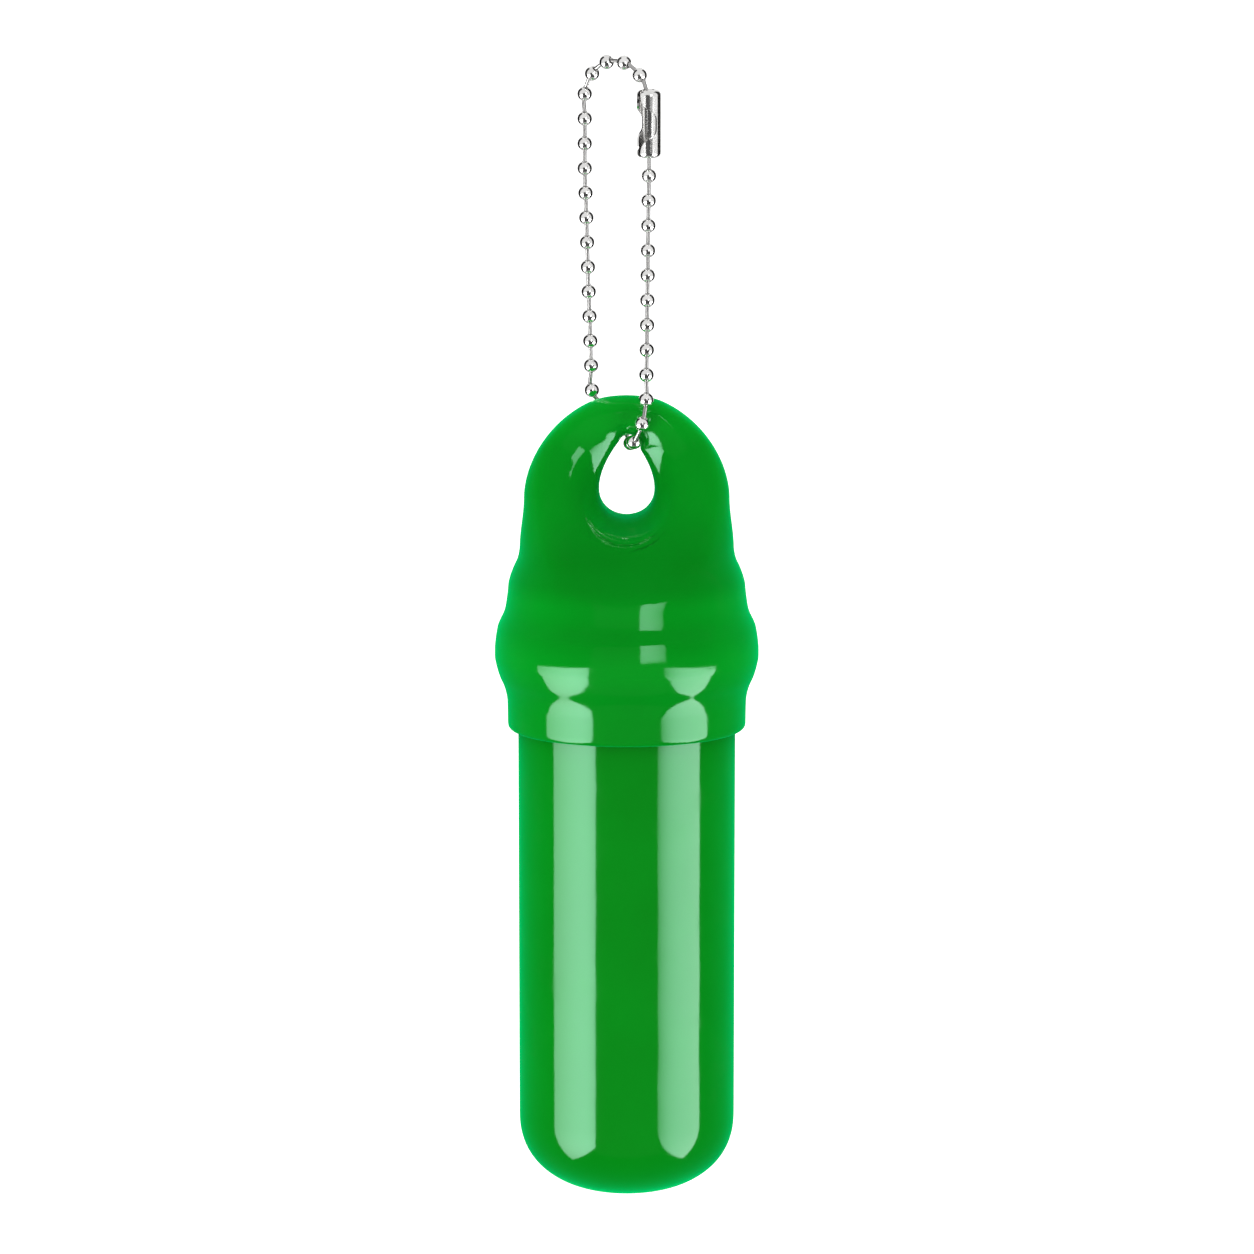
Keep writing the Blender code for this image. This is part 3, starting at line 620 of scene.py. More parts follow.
def chain_layout():
    """Every bead's centre in order round the loop, and the height of the bar's centre."""
    plan = Vector((math.cos(LOOP_TURN), -math.sin(LOOP_TURN))) * LOOP_WIDTH / 2
    axis = Vector((AXIS_OFFSET, 0.0, 0.0))
    wrap = [axis + place for place in eye_beads()]
    left = strand_up(wrap[0], -plan)
    right = strand_up(wrap[-1], plan)
    up = Vector((0.0, 0.0, LINK_PITCH))
    left_lead = [left[-1] + (k + 1) * up for k in range(LEFT_LEAD_LINKS)]
    low_end = right[-1] + up
    end_bead_height = (CONNECTOR_LENGTH / 2 - CONNECTOR_WALL - CONNECTOR_BEAD_GAP
                       - math.sqrt(BEAD_RADIUS ** 2 - CONNECTOR_SEAT_HOLE ** 2))
    high_end = low_end + Vector((0.0, 0.0, 2 * end_bead_height))
    arch = arch_beads(high_end, left_lead[-1])
    beads = [high_end] + arch + left_lead[::-1] + left[::-1] + wrap[1:-1] + right + [low_end]
    lift = BEAD_RADIUS - max(bead.z for bead in beads)
    return [bead + Vector((0.0, 0.0, lift)) for bead in beads], lift


def lie_of(beads, index):
    """The line through a bead's two holes: halfway between its neighbours' directions."""
    near = beads[max(index - 1, 0):index + 2]
    steps = [(after - before).normalized() for before, after in zip(near, near[1:])]
    return sum(steps, Vector()).normalized()


def chain_bodies(beads):
    """For each body of the chain, its beads and the pins that they carry, as places and lies."""
    lies = [lie_of(beads, index) for index in range(len(beads))]
    first_pair = ARCH_LINKS + LEFT_LEAD_LINKS
    last_pair = first_pair + STRAND_PAIRS - 1
    meeting = last_pair + len(LEFT_STEP_SHARES)
    owners = {"chain_arch": list(range(first_pair)) + [len(beads) - 1],
              "chain_eye": list(range(last_pair + 1, len(beads) - 1 - STRAND_PAIRS))}
    for pair in range(STRAND_PAIRS):
        owners[f"chain_pair_{pair + 1:02d}"] = [first_pair + pair, len(beads) - 2 - pair]
    bodies = {}
    for body, numbers in owners.items():
        rows = []
        for number in numbers:
            rows.append((beads[number], lies[number], 0.0))
            if number == meeting:
                continue
            near, far = (number, number + 1) if number < meeting else (number - 1, number)
            start = beads[near] + lies[near] * SWIVEL_RADIUS
            end = beads[far] - lies[far] * SWIVEL_RADIUS
            rows.append(((start + end) / 2, (end - start).normalized(), 1.0))
        bodies[body] = (numbers, rows)
    return bodies


def string_points(name, rows):
    """A mesh of loose points with the attributes that the chain's tree reads."""
    mesh = bpy.data.meshes.new(name)
    mesh.from_pydata([row[0] for row in rows], [], [])
    mesh.attributes.new("lie", "FLOAT_VECTOR", "POINT")
    mesh.attributes.new("is_pin", "FLOAT", "POINT")
    for index, row in enumerate(rows):
        mesh.attributes["lie"].data[index].vector = row[1]
        mesh.attributes["is_pin"].data[index].value = row[2]
    return mesh


# The cap, as one smooth field that is below zero inside the vinyl.

def through(table, places):
    """A smooth curve through a table of (place, size) rows that never overshoots them."""
    rows = np.array(table)
    xs, ys = rows[:, 0], rows[:, 1]
    slopes = np.diff(ys) / np.diff(xs)
    before, after = slopes[:-1], slopes[1:]
    product = before * after
    inner = np.where(product > 0, 2 * product / np.where(product > 0, before + after, 1.0), 0.0)
    tangents = np.concatenate(([slopes[0]], inner, [slopes[-1]]))
    places = np.clip(places, xs[0], xs[-1])
    index = np.clip(np.searchsorted(xs, places, side="right") - 1, 0, len(xs) - 2)
    span = xs[index + 1] - xs[index]
    share = (places - xs[index]) / span
    rise = ys[index + 1] - ys[index]
    start, end = tangents[index] * span, tangents[index + 1] * span
    return (ys[index] + start * share + (3 * rise - 2 * start - end) * share ** 2
            + (start + end - 2 * rise) * share ** 3)


def rounded_max(first, second, blend):
    """The greater of two distances, with the crease between them rounded off."""
    close = np.clip(0.5 + 0.5 * (first - second) / blend, 0, 1)
    return second + (first - second) * close + blend * close * (1 - close)


def smooth(share):
    """A share from 0 to 1, with a soft start and end."""
    return share * share * (3 - 2 * share)


def cap_radius(depth):
    """The cap's round outline below its neck."""
    steps = [(share, NECK_RADIUS + (SKIRT_RADIUS - NECK_RADIUS) * rise)
             for share, rise in SHOULDER_STEPS]
    steps += [(share, SKIRT_RADIUS + BULGE_RISE * rise) for share, rise in BULGE_STEPS]
    return through(steps, (depth - NECK_DEPTH) / GRIP_LENGTH)


def outline_field(x, y, depth):
    """The cap's outside without its scoops, as a number that grows outwards."""
    crown = NECK_RADIUS * TAB_WIDTH_SHARE
    share = 1 - np.clip(depth, -0.002, CROWN_DEPTH) / CROWN_DEPTH
    inside = 1 - share ** CROWN_POWER
    crown_square = np.sign(inside) * np.abs(inside) ** (2 / CROWN_POWER)
    fall = np.clip((depth - CROWN_DEPTH) / (NECK_DEPTH - CROWN_DEPTH), 0, 1)
    lower = crown + (NECK_RADIUS - crown) * smooth(fall)
    width = np.where(depth < NECK_DEPTH, lower, cap_radius(depth))
    square = np.where(depth < CROWN_DEPTH, crown_square, (width / crown) ** 2)
    oval = NECK_RADIUS * through(BODY_SHARES, depth / NECK_DEPTH)
    body = np.where(depth < NECK_DEPTH, oval, width)
    half = BAR_HEIGHT / 2
    above = np.clip(half - depth, 0, half - half * 0.02) / half
    ridge = np.where(depth < half, 1 - above ** 2, 1.0)
    flatness = np.abs(square) / ridge
    return (x / crown) ** 2 + flatness * (y / body) ** 2 - square


def scoop_depth(depth):
    """How far the scooped faces stand from the tab's middle."""
    bar = BAR_THICKNESS / 2
    return bar + (NECK_RADIUS - bar) * through(SCOOP_SHARES, depth / NECK_DEPTH)


def dent(x, depth):
    """The shallow dent that the chain has left in the front and back of the bar."""
    down = depth - BAR_HEIGHT * DENT_PLACE_SHARE
    return DENT_DEPTH * np.exp(-(x / DENT_WIDTH) ** 2 - (down / DENT_HEIGHT) ** 2)


def scoop_field(x, y, depth):
    """Distance outside the scooped faces and the bar's rounded top."""
    scoop = scoop_depth(depth) - dent(x, depth)
    half = BAR_HEIGHT / 2
    above = np.clip(half - depth, 0, None) / half
    return (np.sqrt((y / scoop) ** 2 + above ** 2) - 1) * scoop


def eye_inside(x, depth):
    """Above zero inside the eye's outline: an egg, with the chain's round seat at its top."""
    down = (depth - BAR_HEIGHT - EYE_HEIGHT / 2) / (EYE_HEIGHT / 2)
    egg = (1 - down ** 2) * (1 + EYE_TAPER * down) - (x / EYE_EGG_RADIUS) ** 2
    egg = np.where(np.abs(down) < 1, egg, -1.0)
    seat_depth = BAR_HEIGHT + EYE_SEAT_RADIUS
    seat = 1 - np.hypot(x - EYE_SEAT_OFFSET, depth - seat_depth) / EYE_SEAT_RADIUS
    return rounded_max(egg, seat, EYE_BLEND)


def eye_chart():
    """Signed distances from the eye's outline on a grid across the tab, worked out once."""
    turns = np.linspace(0, 2 * np.pi, EYE_RIM_POINTS, endpoint=False)
    middle = BAR_HEIGHT + EYE_HEIGHT * EYE_RIM_MIDDLE_SHARE
    low, high = np.zeros_like(turns), np.full_like(turns, EYE_HEIGHT)
    for _ in range(EYE_RIM_STEPS):
        reach = (low + high) / 2
        within = eye_inside(reach * np.sin(turns), middle + reach * np.cos(turns)) > 0
        low, high = np.where(within, reach, low), np.where(within, high, reach)
    xs = np.arange(*EYE_CHART_WIDTH, EYE_CHART_STEP)
    depths = np.arange(*EYE_CHART_DEPTH, EYE_CHART_STEP)
    across, down = np.meshgrid(xs, depths, indexing="ij")
    nearest = np.full(across.shape, 1.0)
    for x, depth in zip(low * np.sin(turns), middle + low * np.cos(turns)):
        nearest = np.minimum(nearest, np.hypot(across - x, down - depth))
    return xs, depths, np.where(eye_inside(across, down) > 0, -nearest, nearest)


def from_chart(chart, x, depth):
    """The chart's value at places across the tab."""
    xs, depths, values = chart
    across = np.clip((x - xs[0]) / EYE_CHART_STEP, 0, len(xs) - 1.001)
    down = np.clip((depth - depths[0]) / EYE_CHART_STEP, 0, len(depths) - 1.001)
    i, j = across.astype(int), down.astype(int)
    u, v = across - i, down - j
    return ((values[i, j] * (1 - v) + values[i, j + 1] * v) * (1 - u)
            + (values[i + 1, j] * (1 - v) + values[i + 1, j + 1] * v) * u)


def eye_field(x, y, depth):
    """Distance outside the eye, whose lip flares out to both faces as a wide shallow funnel."""
    share = np.clip(np.abs(y) / scoop_depth(depth), 0, 1)
    turn = np.arctan2(x, BAR_HEIGHT + EYE_HEIGHT * 0.5 - depth)
    below = 0.5 - 0.5 * np.cos(turn)
    above = (1 - below) ** 2
    lip = through(LIP_SHARES, share)
    lip = lip * (1 - (1 - EYE_SILL_SHARE) * below ** 2 - (1 - EYE_TOP_SHARE) * above ** 2)
    return from_chart(EYE_CHART, x, depth) - LIP_REACH * lip


EYE_CHART = eye_chart()


def hollow_field(x, y, depth):
    """Distance outside the cap's hollow: skirt bore, groove behind the bulge, ledge and dome."""
    radius = np.hypot(x, y)
    bore = np.maximum(SOCKET_RADIUS, cap_radius(depth) - CAP_WALL)
    ease = smooth(np.clip((depth - STOP_DEPTH) / (GRIP_LENGTH * GROOVE_EASE_SHARE), 0, 1))
    bore = SOCKET_RADIUS + (bore - SOCKET_RADIUS) * ease
    wide = np.maximum(radius - bore, STOP_DEPTH - depth)
    dome_radius = SOCKET_RADIUS - STOP_LEDGE
    above = np.clip(STOP_DEPTH - depth, 0, None)
    dome = (np.sqrt((radius / dome_radius) ** 2 + (above / DOME_RISE) ** 2) - 1) * DOME_RISE
    return np.minimum(wide, dome)


def steepened(function, x, y, depth, least=1.0):
    """A field divided by its own steepness, so that it is near to a distance."""
    step = STEEPNESS_STEP
    here = function(x, y, depth)
    rises = (function(x + step, y, depth) - here, function(x, y + step, depth) - here,
             function(x, y, depth + step) - here)
    return here / np.maximum(np.sqrt(sum(rise ** 2 for rise in rises)) / step, least)


def cap_field(points):
    """The cap's field at points that are counted from the middle of its top."""
    x, y, depth = points[..., 0], points[..., 1], -points[..., 2]
    outside = steepened(outline_field, x, y, depth, OUTLINE_STEEPNESS)
    scoops = steepened(scoop_field, x, y, depth)
    rounding = FACE_ROUND + FACE_ROUND_GAIN * np.clip(depth / FACE_ROUND_DEPTH, 0, 1)
    field = rounded_max(outside, scoops, rounding)
    field = rounded_max(field, -steepened(eye_field, x, y, depth), EYE_ROUND)
    field = rounded_max(field, depth - CAP_HEIGHT, HEM_ROUND)
    return rounded_max(field, -hollow_field(x, y, depth), HOLLOW_ROUND)


def field_slope(points):
    """The gradient of the cap's field."""
    shifts = np.eye(3) * SLOPE_STEP
    rises = [cap_field(points + shift) - cap_field(points - shift) for shift in shifts]
    return np.stack(rises, axis=-1) / (2 * SLOPE_STEP)


def drawn_to_surface(points, rounds):
    """Points moved along the field's gradient until they lie on its surface."""
    for _ in range(rounds):
        slope = field_slope(points)
        square = np.maximum((slope ** 2).sum(axis=1), LEAST_SLOPE_SQUARE)
        move = slope * (cap_field(points) / square)[:, None]
        length = np.maximum(np.linalg.norm(move, axis=1), TINY)
        points = points - move * np.minimum(1.0, LONGEST_MOVE / length)[:, None]
    return points


def cropped(grid, starts):
    """A grid one row shorter along some axes: its last row goes at a start of 0, its first at 1."""
    take = [slice(None)] * 3
    for axis, start in starts.items():
        take[axis] = slice(start, grid.shape[axis] - 1 + start)
    return grid[tuple(take)]


def skin_of_field(low, high, cell):
    """Points and four-sided faces of the field's surface, with one point in each cell."""
    counts = [int(math.ceil((top - bottom) / cell)) + 1 for bottom, top in zip(low, high)]
    axes = [low[k] + cell * np.arange(counts[k]) for k in range(3)]
    field = np.empty(counts)
    for slab in range(counts[0]):
        grid = np.stack(np.meshgrid([axes[0][slab]], axes[1], axes[2], indexing="ij"), axis=-1)
        field[slab] = cap_field(grid)[0]
    inside = field < 0
    cells = [count - 1 for count in counts]
    total, hits = np.zeros((*cells, 3)), np.zeros(cells)
    crossings = []
    for axis in range(3):
        start, end = cropped(field, {axis: 0}), cropped(field, {axis: 1})
        starts_inside = cropped(inside, {axis: 0})
        crossed = starts_inside != cropped(inside, {axis: 1})
        crossings.append((crossed, starts_inside))
        share = np.where(crossed, start / np.where(crossed, start - end, 1.0), 0.0)
        one, other = [k for k in range(3) if k != axis]
        for first, second in ((0, 0), (0, 1), (1, 0), (1, 1)):
            starts = {one: first, other: second}
            mask = cropped(crossed, starts)
            hits += mask
            total[..., axis] += mask * cropped(share, starts)
            total[..., one] += mask * first
            total[..., other] += mask * second
    filled = hits > 0
    number = np.full(filled.shape, -1)
    number[filled] = np.arange(filled.sum())
    corner = np.stack(np.nonzero(filled), axis=-1)
    points = np.array(low) + cell * (corner + total[filled] / hits[filled][:, None])
    faces = []
    for axis, (crossed, starts_inside) in enumerate(crossings):
        one, other = (axis + 1) % 3, (axis + 2) % 3
        place = np.stack(np.nonzero(crossed), axis=-1)
        place = place[(place[:, one] > 0) & (place[:, other] > 0)]
        steps = np.eye(3, dtype=int)
        ring = [number[tuple((place - first * steps[one] - second * steps[other]).T)]
                for first, second in ((1, 1), (0, 1), (0, 0), (1, 0))]
        quads = np.stack(ring, axis=-1)
        outward = starts_inside[tuple(place.T)]
        faces.append(np.where(outward[:, None], quads, quads[:, ::-1]))
    return points, np.concatenate(faces)


def relaxed(points, faces):
    """Points drawn halfway towards the mean of their neighbours."""
    total = np.zeros_like(points)
    count = np.zeros(len(points))
    for k in range(4):
        start, end = faces[:, k], faces[:, (k + 1) % 4]
        for near, far in ((start, end), (end, start)):
            for axis in range(3):
                total[:, axis] += np.bincount(near, points[far, axis], len(points))
            count += np.bincount(near, minlength=len(points))
    return points * 0.5 + total / count[:, None] * 0.5


def make_cap(top):
    """The cap's mesh, with its place in it."""
    reach = SKIRT_RADIUS + BULGE_RISE + CAP_MARGIN
    low = (-reach, -reach, -CAP_HEIGHT - CAP_MARGIN)
    high = (reach, reach, CAP_MARGIN)
    points, faces = skin_of_field(low, high, CAP_CELL)
    points = drawn_to_surface(points, 2)
    for _ in range(CAP_RELAX_ROUNDS):
        points = drawn_to_surface(relaxed(points, faces), 1)
    points = drawn_to_surface(points, 2)
    mesh = bpy.data.meshes.new("moulded_cap")
    mesh.from_pydata(points + np.array((AXIS_OFFSET, 0.0, top)), [], faces)
    mesh.update()
    mesh.shade_smooth()
    # Painted light and shade by height, kept on the mesh for the cap's finish: lighter on the
    # crown, shoulder and bulge, painted shade under the eye.
    painted_light_and_shade = mesh.attributes.new("painted_light_and_shade", "FLOAT", "POINT")
    painted_light_and_shade.data.foreach_set("value", through(PAINTED_LIGHT_AND_SHADE_SHARES, -points[:, 2] / CAP_HEIGHT))
    return new_object("moulded_cap", mesh)


# Finishes.

class Finish(Graph):
    """A procedural material round one Principled shader."""

    def __init__(self, name, **constants):
        material = bpy.data.materials.new(name)
        material.use_nodes = True
        super().__init__(material.node_tree)
        self.material = material
        self.shader = material.node_tree.nodes["Principled BSDF"]
        for label, value in constants.items():
            self.shader.inputs[label.replace("_", " ")].default_value = value

    def place(self):
        """The object's own coordinates."""
        return self.add("ShaderNodeTexCoord", output="Object")

    def noise(self, scale, detail=2.0, roughness=0.5, stretch=None, distortion=0.0):
        """A noise from 0 to 1, at a scale in waves to the metre."""
        where = self.place()
        if stretch:
            where = self.add("ShaderNodeMapping", {"Vector": where, "Scale": stretch})
        return self.add("ShaderNodeTexNoise", {"Vector": where, "Scale": scale, "Detail": detail,
                                               "Roughness": roughness, "Distortion": distortion})

    def attribute(self, name):
        """A number that the mesh carries."""
        return self.add("ShaderNodeAttribute", output="Fac", attribute_name=name)

    def mixed(self, share, first, second):
        """Two colours mixed by a share."""
        node = self.tree.nodes.new("ShaderNodeMix")
        node.data_type = "RGBA"
        self.feed(node.inputs["Factor"], share)
        for label, value in (("A", first), ("B", second)):
            socket = [one for one in node.inputs if one.name == label and one.type == "RGBA"][0]
            self.feed(socket, value if isinstance(value, Wire) else (*value, 1.0))
        return Wire(self, [one for one in node.outputs if one.type == "RGBA"][0])

    def bump(self, height, distance, strength, normal=None):
        """A Bump node on a height from 0 to 1, over a distance in metres."""
        values = {"Height": height, "Distance": distance, "Strength": strength}
        if normal:
            values["Normal"] = normal
        return self.add("ShaderNodeBump", values)

    def wear(self, **wires):
        """Link what varies over the surface."""
        for label, wire in wires.items():
            self.feed(self.shader.inputs[label.replace("_", " ")], wire)
        return self.material


def creases(finish, middle):
    """Two or three short curved creases below the eye, from 0 to 1, fading out at both ends."""
    x, _, z = finish.parts(finish.place())
    x, z = x - middle.x, z - middle.z
    reach = (x * x + z * z) ** 0.5
    waver = (finish.noise(420.0) - 0.5) * (CREASE_SPACING * CREASE_WAVER)
    wave = ((reach + waver) * (2 * math.pi / CREASE_SPACING)).cos() * 0.5 + 0.5
    first = reach.eased(CREASE_RADIUS - CREASE_SPACING * 0.5, CREASE_RADIUS)
    last = reach.eased(CREASE_RADIUS + CREASE_SPACING, CREASE_RADIUS + CREASE_SPACING * 2.0)
    under = (0.0 - z / reach).eased(0.55, 0.9)
    broken = finish.noise(230.0, detail=1.0).eased(0.35, 0.6)
    return wave ** CREASE_THINNESS * first * (1.0 - last) * under * broken


def vinyl(name, light, deep, crease_middle=None):
    """Glossy dip-moulded vinyl: green with faint clouding, ripple and handling marks; on the cap,
    painted light and shade by height and painted shade in the creases below the eye.
    """
    finish = Finish(name, IOR=VINYL_INDEX, Specular_Tint=VINYL_REFLECTION, Sheen_Weight=1.0,
                    Sheen_Roughness=VINYL_SHEEN_ROUGHNESS, Sheen_Tint=VINYL_SHEEN)
    fine = finish.noise(900.0)
    share = finish.noise(70.0, detail=3.0).between(0.3, 0.7) * 0.8 + fine * 0.2
    # On the cap, most of the mix between the two greens is painted light and shade by height; the
    # rest is random clouding.
    if crease_middle:
        share = share * (1.0 - PAINTED_LIGHT_AND_SHADE_WEIGHT) + finish.attribute("painted_light_and_shade") * PAINTED_LIGHT_AND_SHADE_WEIGHT
    colour = finish.mixed(share, deep, light)
    smudge = finish.noise(160.0, detail=4.0, roughness=0.6, distortion=0.6).eased(0.5, 0.8)
    roughness = VINYL_ROUGHNESS + smudge * 0.07 + fine * 0.015
    skin = finish.bump(finish.noise(90.0, detail=1.0), 0.0006, 0.12)
    skin = finish.bump(finish.noise(2600.0), 0.00002, 0.10, skin)
    if crease_middle:
        # The creases are a real bump, and their lines are darkened with painted shade.
        crease_lines_and_shade = creases(finish, crease_middle)
        colour = finish.mixed(crease_lines_and_shade * CREASE_PAINTED_SHADE_SHARE, colour, CREASE_PAINTED_SHADE)
        skin = finish.bump(1.0 - crease_lines_and_shade, 0.00005, 0.45, skin)
    return finish.wear(Base_Color=colour, Roughness=roughness, Normal=skin)


def nickel(name, roughness):
    """Bright nickel plate with fine scratches, duller pins, and a rougher cut edge on the sleeve
    with a painted highlight along it.
    """
    finish = Finish(name, Metallic=1.0)
    clouds = finish.noise(500.0, detail=3.0)
    pin, edge = finish.attribute("is_pin"), finish.attribute("cut")
    colour = finish.mixed(clouds.between(0.3, 0.7), NICKEL_DARK, NICKEL_LIGHT)
    colour = finish.mixed(pin, colour, PIN_COLOUR)
    # Painted highlight along the sleeve's cut edge, which is also rougher below.
    colour = finish.mixed(edge, colour, CUT_EDGE_PAINTED_HIGHLIGHT)
    scratch = finish.noise(3000.0, detail=3.0, stretch=(1.0, 1.0, 0.12)).eased(0.55, 0.75)
    roughness = (roughness + scratch * 0.10 + clouds * 0.03 + pin * PIN_EXTRA_ROUGHNESS
                 + edge * CUT_EDGE_EXTRA_ROUGHNESS)
    skin = finish.bump(finish.noise(6000.0), 0.000004, 0.2)
    return finish.wear(Base_Color=colour, Roughness=roughness, Normal=skin)


# Studio.

def plain_tree(owner):
    """The tree of a material or world, emptied."""
    owner.use_nodes = True
    for node in list(owner.node_tree.nodes):
        owner.node_tree.nodes.remove(node)
    return Graph(owner.node_tree)


def glow(name, mirrored, lighting, fade=0.0, bright_spot=0.0, corner=None):
    """A cloth or card: its level in gloss and as a light, its fade, and its round low corner."""
    material = bpy.data.materials.new(name)
    graph = plain_tree(material)
    wide, tall, _ = graph.parts(graph.add("ShaderNodeTexCoord", output="UV"))
    across, upward = (wide - 0.5) * 2.0, (tall - 0.5) * 2.0
    aside = across - bright_spot
    rim = (1.0 - (aside * aside + upward * upward * 0.2) * fade).math("MAXIMUM", 0.0)
    if corner:
        side, start_across, start_upward = corner
        beyond = ((across * side - start_across) / (1.0 - start_across)).math("MAXIMUM", 0.0)
        below = ((start_upward - upward) / (1.0 + start_upward)).math("MAXIMUM", 0.0)
        rim = rim * (1.0 - (beyond * beyond + below * below).eased(0.96, 1.02))
    in_gloss = graph.add("ShaderNodeLightPath", output="Is Glossy Ray")
    graph.show(graph.white((in_gloss * (mirrored - lighting) + lighting) * rim))
    return material


def sheet(name, centre, across, upward, width, height, material):
    """A flat stage sheet round a centre, with its own map from 0 to 1."""
    mesh = bpy.data.meshes.new(name)
    right = Vector(across).normalized() * width / 2
    up = Vector(upward).normalized() * height / 2
    spots = ((0, 0), (1, 0), (1, 1), (0, 1))
    mesh.from_pydata([Vector(centre) + right * (2 * u - 1) + up * (2 * v - 1) for u, v in spots],
                     [], [(0, 1, 2, 3)])
    chart = mesh.uv_layers.new(name="UVMap")
    for corner, spot in enumerate(spots):
        chart.data[corner].uv = spot
    mesh.materials.append(material)
    item = new_object(name, mesh)
    return item


def away(azimuth, elevation, distance):
    """A step from the aim, with its azimuth counted from the camera's side to the right."""
    turn, rise = math.radians(azimuth), math.radians(elevation)
    return distance * Vector((math.sin(turn) * math.cos(rise), -math.cos(turn) * math.cos(rise),
                              math.sin(rise)))


def softbox(name, place, size, mirrored, lighting, fade, bright_spot, corner=None):
    """A glowing cloth that the camera doesn't see. Its place is a centre and two directions."""
    cloth = glow(f"{name}_cloth", mirrored, lighting, fade, bright_spot, corner)
    sheet(name, *place, *size, cloth).visible_camera = False


def only_mirrored(item):
    """Hide a stage piece from all but glossy rays."""
    item.visible_camera = item.visible_diffuse = False
    item.visible_shadow = item.visible_transmission = False
    item.data.materials[0].cycles.emission_sampling = "NONE"
    return item


def card(name, place, size, level):
    """A card that only gloss sees."""
    only_mirrored(sheet(name, *place, *size, glow(f"{name}_paper", level, level)))


def make_tent(metal):
    """A white tent round the stage that only the metal mirrors: the vinyl mirrors a dark studio."""
    ball = bmesh.new()
    bmesh.ops.create_uvsphere(ball, u_segments=48, v_segments=24, radius=TENT_RADIUS)
    mesh = bpy.data.meshes.new("white_tent")
    ball.to_mesh(mesh)
    ball.free()
    cloth = bpy.data.materials.new("white_tent_cloth")
    graph = plain_tree(cloth)
    height = graph.parts(graph.add("ShaderNodeTexCoord", output="Object"))[2]
    graph.show(graph.white(height.eased(*TENT_STEP) * TENT_RISE + TENT_LOW))
    mesh.materials.append(cloth)
    tent = new_object("white_tent", mesh)
    only_mirrored(tent)
    mirrors = bpy.data.collections.new("metal_pieces")
    for piece in metal:
        mirrors.objects.link(piece)
    tent.light_linking.receiver_collection = mirrors


def make_room():
    """The world: white where it is seen, with soft light mostly from above and behind."""
    world = bpy.data.worlds.new("studio")
    bpy.context.scene.world = world
    graph = plain_tree(world)
    _, along, height = graph.parts(graph.add("ShaderNodeTexCoord", output="Generated"))
    back, above = along.eased(0.0, 0.3), height.eased(0.15, 0.55)
    lighting = back * ROOM_BACK + (1.0 - back) * (above * (ROOM_ABOVE - ROOM_FRONT) + ROOM_FRONT)
    camera_ray, glossy_ray, clear_ray = [
        graph.add("ShaderNodeLightPath", output=label)
        for label in ("Is Camera Ray", "Is Glossy Ray", "Is Transmission Ray")]
    seen = (camera_ray + glossy_ray + clear_ray).math("MINIMUM", 1.0)
    light = {"Color": WHITE, "Strength": seen + (1.0 - seen) * lighting}
    graph.show(graph.add("ShaderNodeBackground", light), "ShaderNodeOutputWorld")


def make_floor():
    """A plain pale floor far under the container, clear from below."""
    material = bpy.data.materials.new("pale_floor")
    graph = plain_tree(material)
    matt = graph.add("ShaderNodeBsdfDiffuse", {"Color": FLOOR_PAINT}, output="BSDF")
    both = graph.add("ShaderNodeAddShader", (matt, graph.white(FLOOR_GLOW)))
    clear = graph.add("ShaderNodeBsdfTransparent", output="BSDF")
    under = graph.add("ShaderNodeNewGeometry", output="Backfacing")
    graph.show(graph.add("ShaderNodeMixShader", (under, both, clear)))
    floor = sheet("pale_floor", (0.0, 0.0, FLOOR_LEVEL), (1, 0, 0), (0, 1, 0),
                  FLOOR_SIZE, FLOOR_SIZE, material)
    floor.visible_glossy = floor.visible_diffuse = floor.visible_shadow = False


def make_studio(metal):
    """The room, the floor, the metal's tent, two tall softboxes, a small front one, and cards."""
    bpy.context.scene.view_settings.view_transform = "Standard"
    make_room()
    make_floor()
    make_tent(metal)
    along, up = (0, 1, 0), (0, 0, 1)
    for name, side, mirrored, front, low, fade, bright_spot, corner in (
            ("left", -1, 9.4, -1.22, -0.86, 0.62, -0.15, (1, -0.67, 0.65)),
            ("right", 1, 7.8, -0.95, -0.80, 0.30, 0.60, (-1, -0.7, 0.95))):
        centre = (side * BOX_SIDE, (front + BOX_REAR) / 2, (low + BOX_TOP) / 2)
        softbox(f"softbox_{name}", (centre, (0, side, 0), up), (BOX_REAR - front, BOX_TOP - low),
                mirrored, mirrored * BOX_LIGHT_SHARE, fade, bright_spot, corner)
        beside, behind, height = CARD_PLACE
        card(f"dark_card_{name}", ((side * beside, behind, height), along, up), CARD_SIZE, 0.0)
    step = away(*FRONT_BOX_PLACE)
    across = step.cross(up)
    softbox("front_softbox", (STAGE_AIM + step, across, up), FRONT_BOX_SIZE, 4.6, 0.6, 0.2, 0.6)
    card("crown_flag", (STAGE_AIM + FLAG_OFFSET, across, up), FLAG_SIZE, 0.0)
    step = away(*FRONT_CARD_PLACE)
    across = Vector((1, 0, 0))
    card("front_card", (STAGE_AIM + step, across, across.cross(step)), FRONT_CARD_SIZE,
         FRONT_CARD_LEVEL)


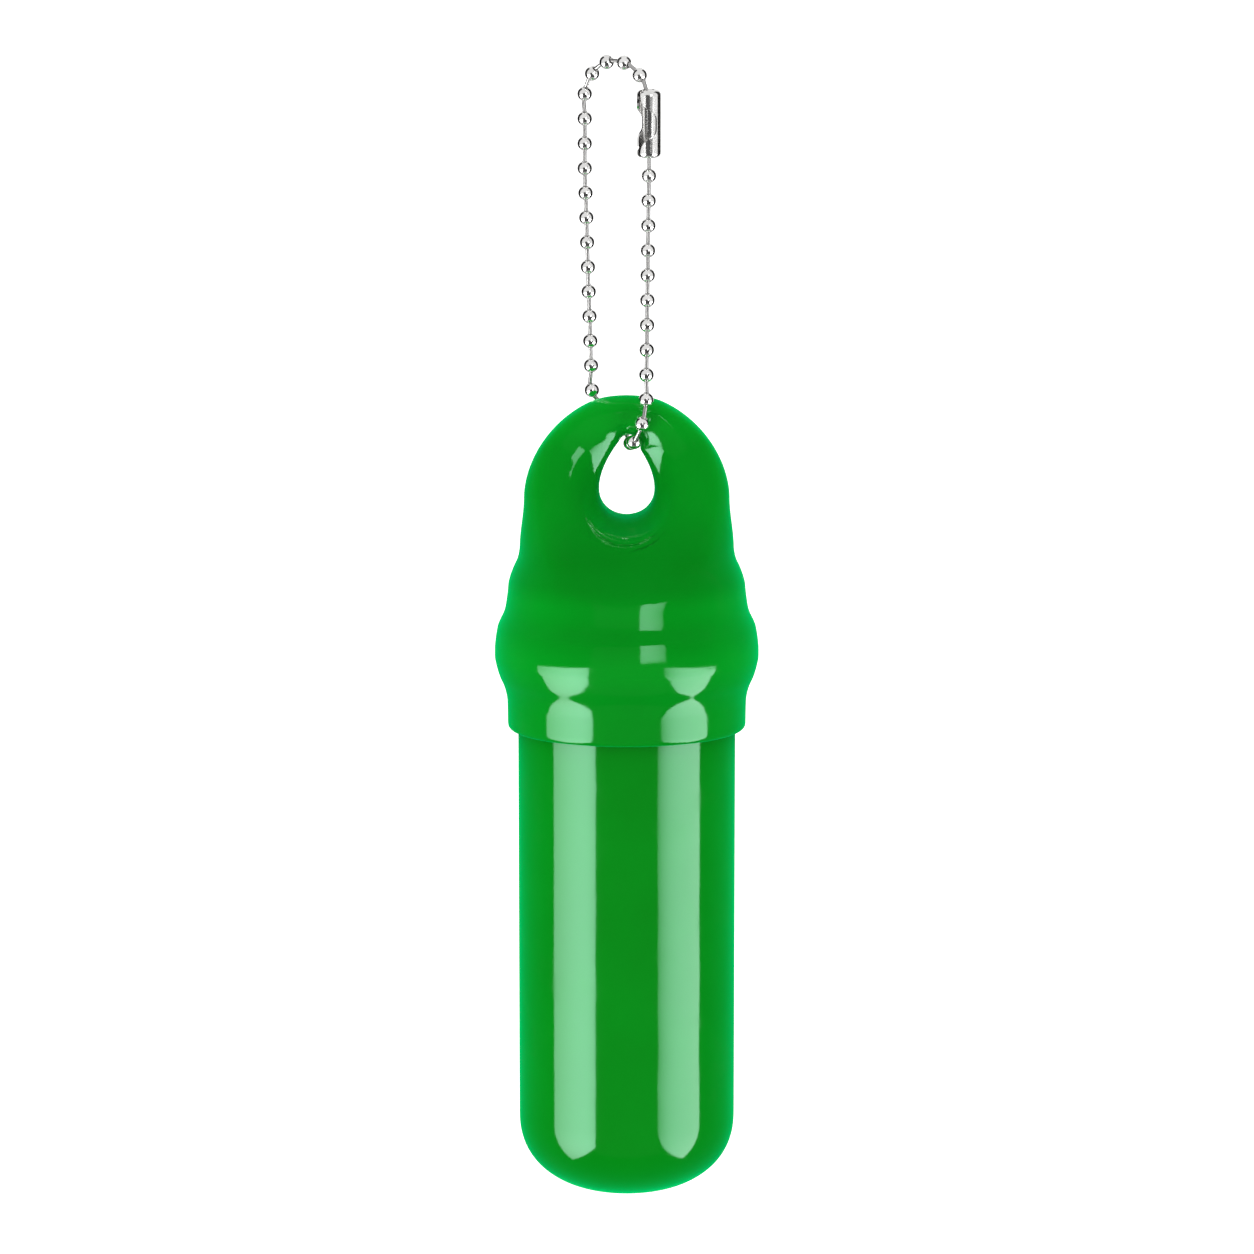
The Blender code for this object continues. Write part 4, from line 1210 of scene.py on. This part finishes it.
def make_camera():
    """A long lens at the photograph's height over the object."""
    data = bpy.data.cameras.new("camera")
    data.sensor_width = SENSOR
    data.lens = SENSOR / 2 * CAMERA_DISTANCE / (PICTURE_WIDTH / 2)
    data.clip_start, data.clip_end = 0.1, 20.0
    camera = new_object("camera", data)
    back = Vector((0.0, -math.cos(CAMERA_RISE), math.sin(CAMERA_RISE)))
    camera.location = PICTURE_CENTRE + back * CAMERA_DISTANCE
    camera.rotation_mode = "QUATERNION"
    camera.rotation_quaternion = back.to_track_quat("Z", "Y")
    bpy.context.scene.camera = camera


def make_object():
    """The container's pieces, each riding on its body in place of the plain solid."""
    beads, lift = chain_layout()
    cap_top = lift + BAR_HEIGHT / 2
    eye_middle = Vector((AXIS_OFFSET, 0.0, cap_top - BAR_HEIGHT - EYE_HEIGHT + EYE_EGG_RADIUS))
    link_finish = nickel("nickel_plated_links", LINK_ROUGHNESS)
    sleeve_finish = nickel("nickel_plated_sleeve", SLEEVE_ROUGHNESS)
    # The cap's two greens carry painted light and shade by height, and painted shade in its
    # creases.
    cap_finish = vinyl("green_vinyl_cap", CAP_CLOUD_AND_PAINTED_LIGHT, CAP_CLOUD_AND_PAINTED_SHADE, eye_middle)
    tube_finish = vinyl("green_vinyl_tube", TUBE_LIGHT, TUBE_DEEP)

    metal = []
    chain = ball_chain()
    for body, (numbers, rows) in chain_bodies(beads).items():
        name = f"{body}_links"
        piece = chain.mesh(name, link_finish, string_points(name, rows))
        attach(piece, body)
        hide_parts(*[f"chain_link_{number + 1:02d}" for number in numbers])
        metal.append(piece)

    rolled = sleeve().mesh("rolled_connector", sleeve_finish)
    rolled.data.transform(Matrix.Translation((beads[0] + beads[-1]) / 2))
    wall = rolled.modifiers.new("Wall", "SOLIDIFY")
    wall.thickness = CONNECTOR_WALL
    wall.offset = -1.0
    settle(rolled)
    rolled.data.shade_smooth()
    rolled.data.set_sharp_from_angle(angle=SHARP_ANGLE)
    metal.append(rolled)
    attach(rolled, "connector")
    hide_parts("connector")

    cap = make_cap(cap_top)
    cap.data.materials.append(cap_finish)
    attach(cap, "cap")
    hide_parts("cap")

    foot = cap_top - CAP_HEIGHT + SOCKET_DEPTH - TUBE_LENGTH
    tube = closed_tube().mesh("round_tube", tube_finish)
    tube.data.transform(Matrix.Translation(Vector((AXIS_OFFSET, 0.0, foot))))
    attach(tube, "tube")
    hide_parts("tube")
    return metal


make_camera()
make_studio(make_object())
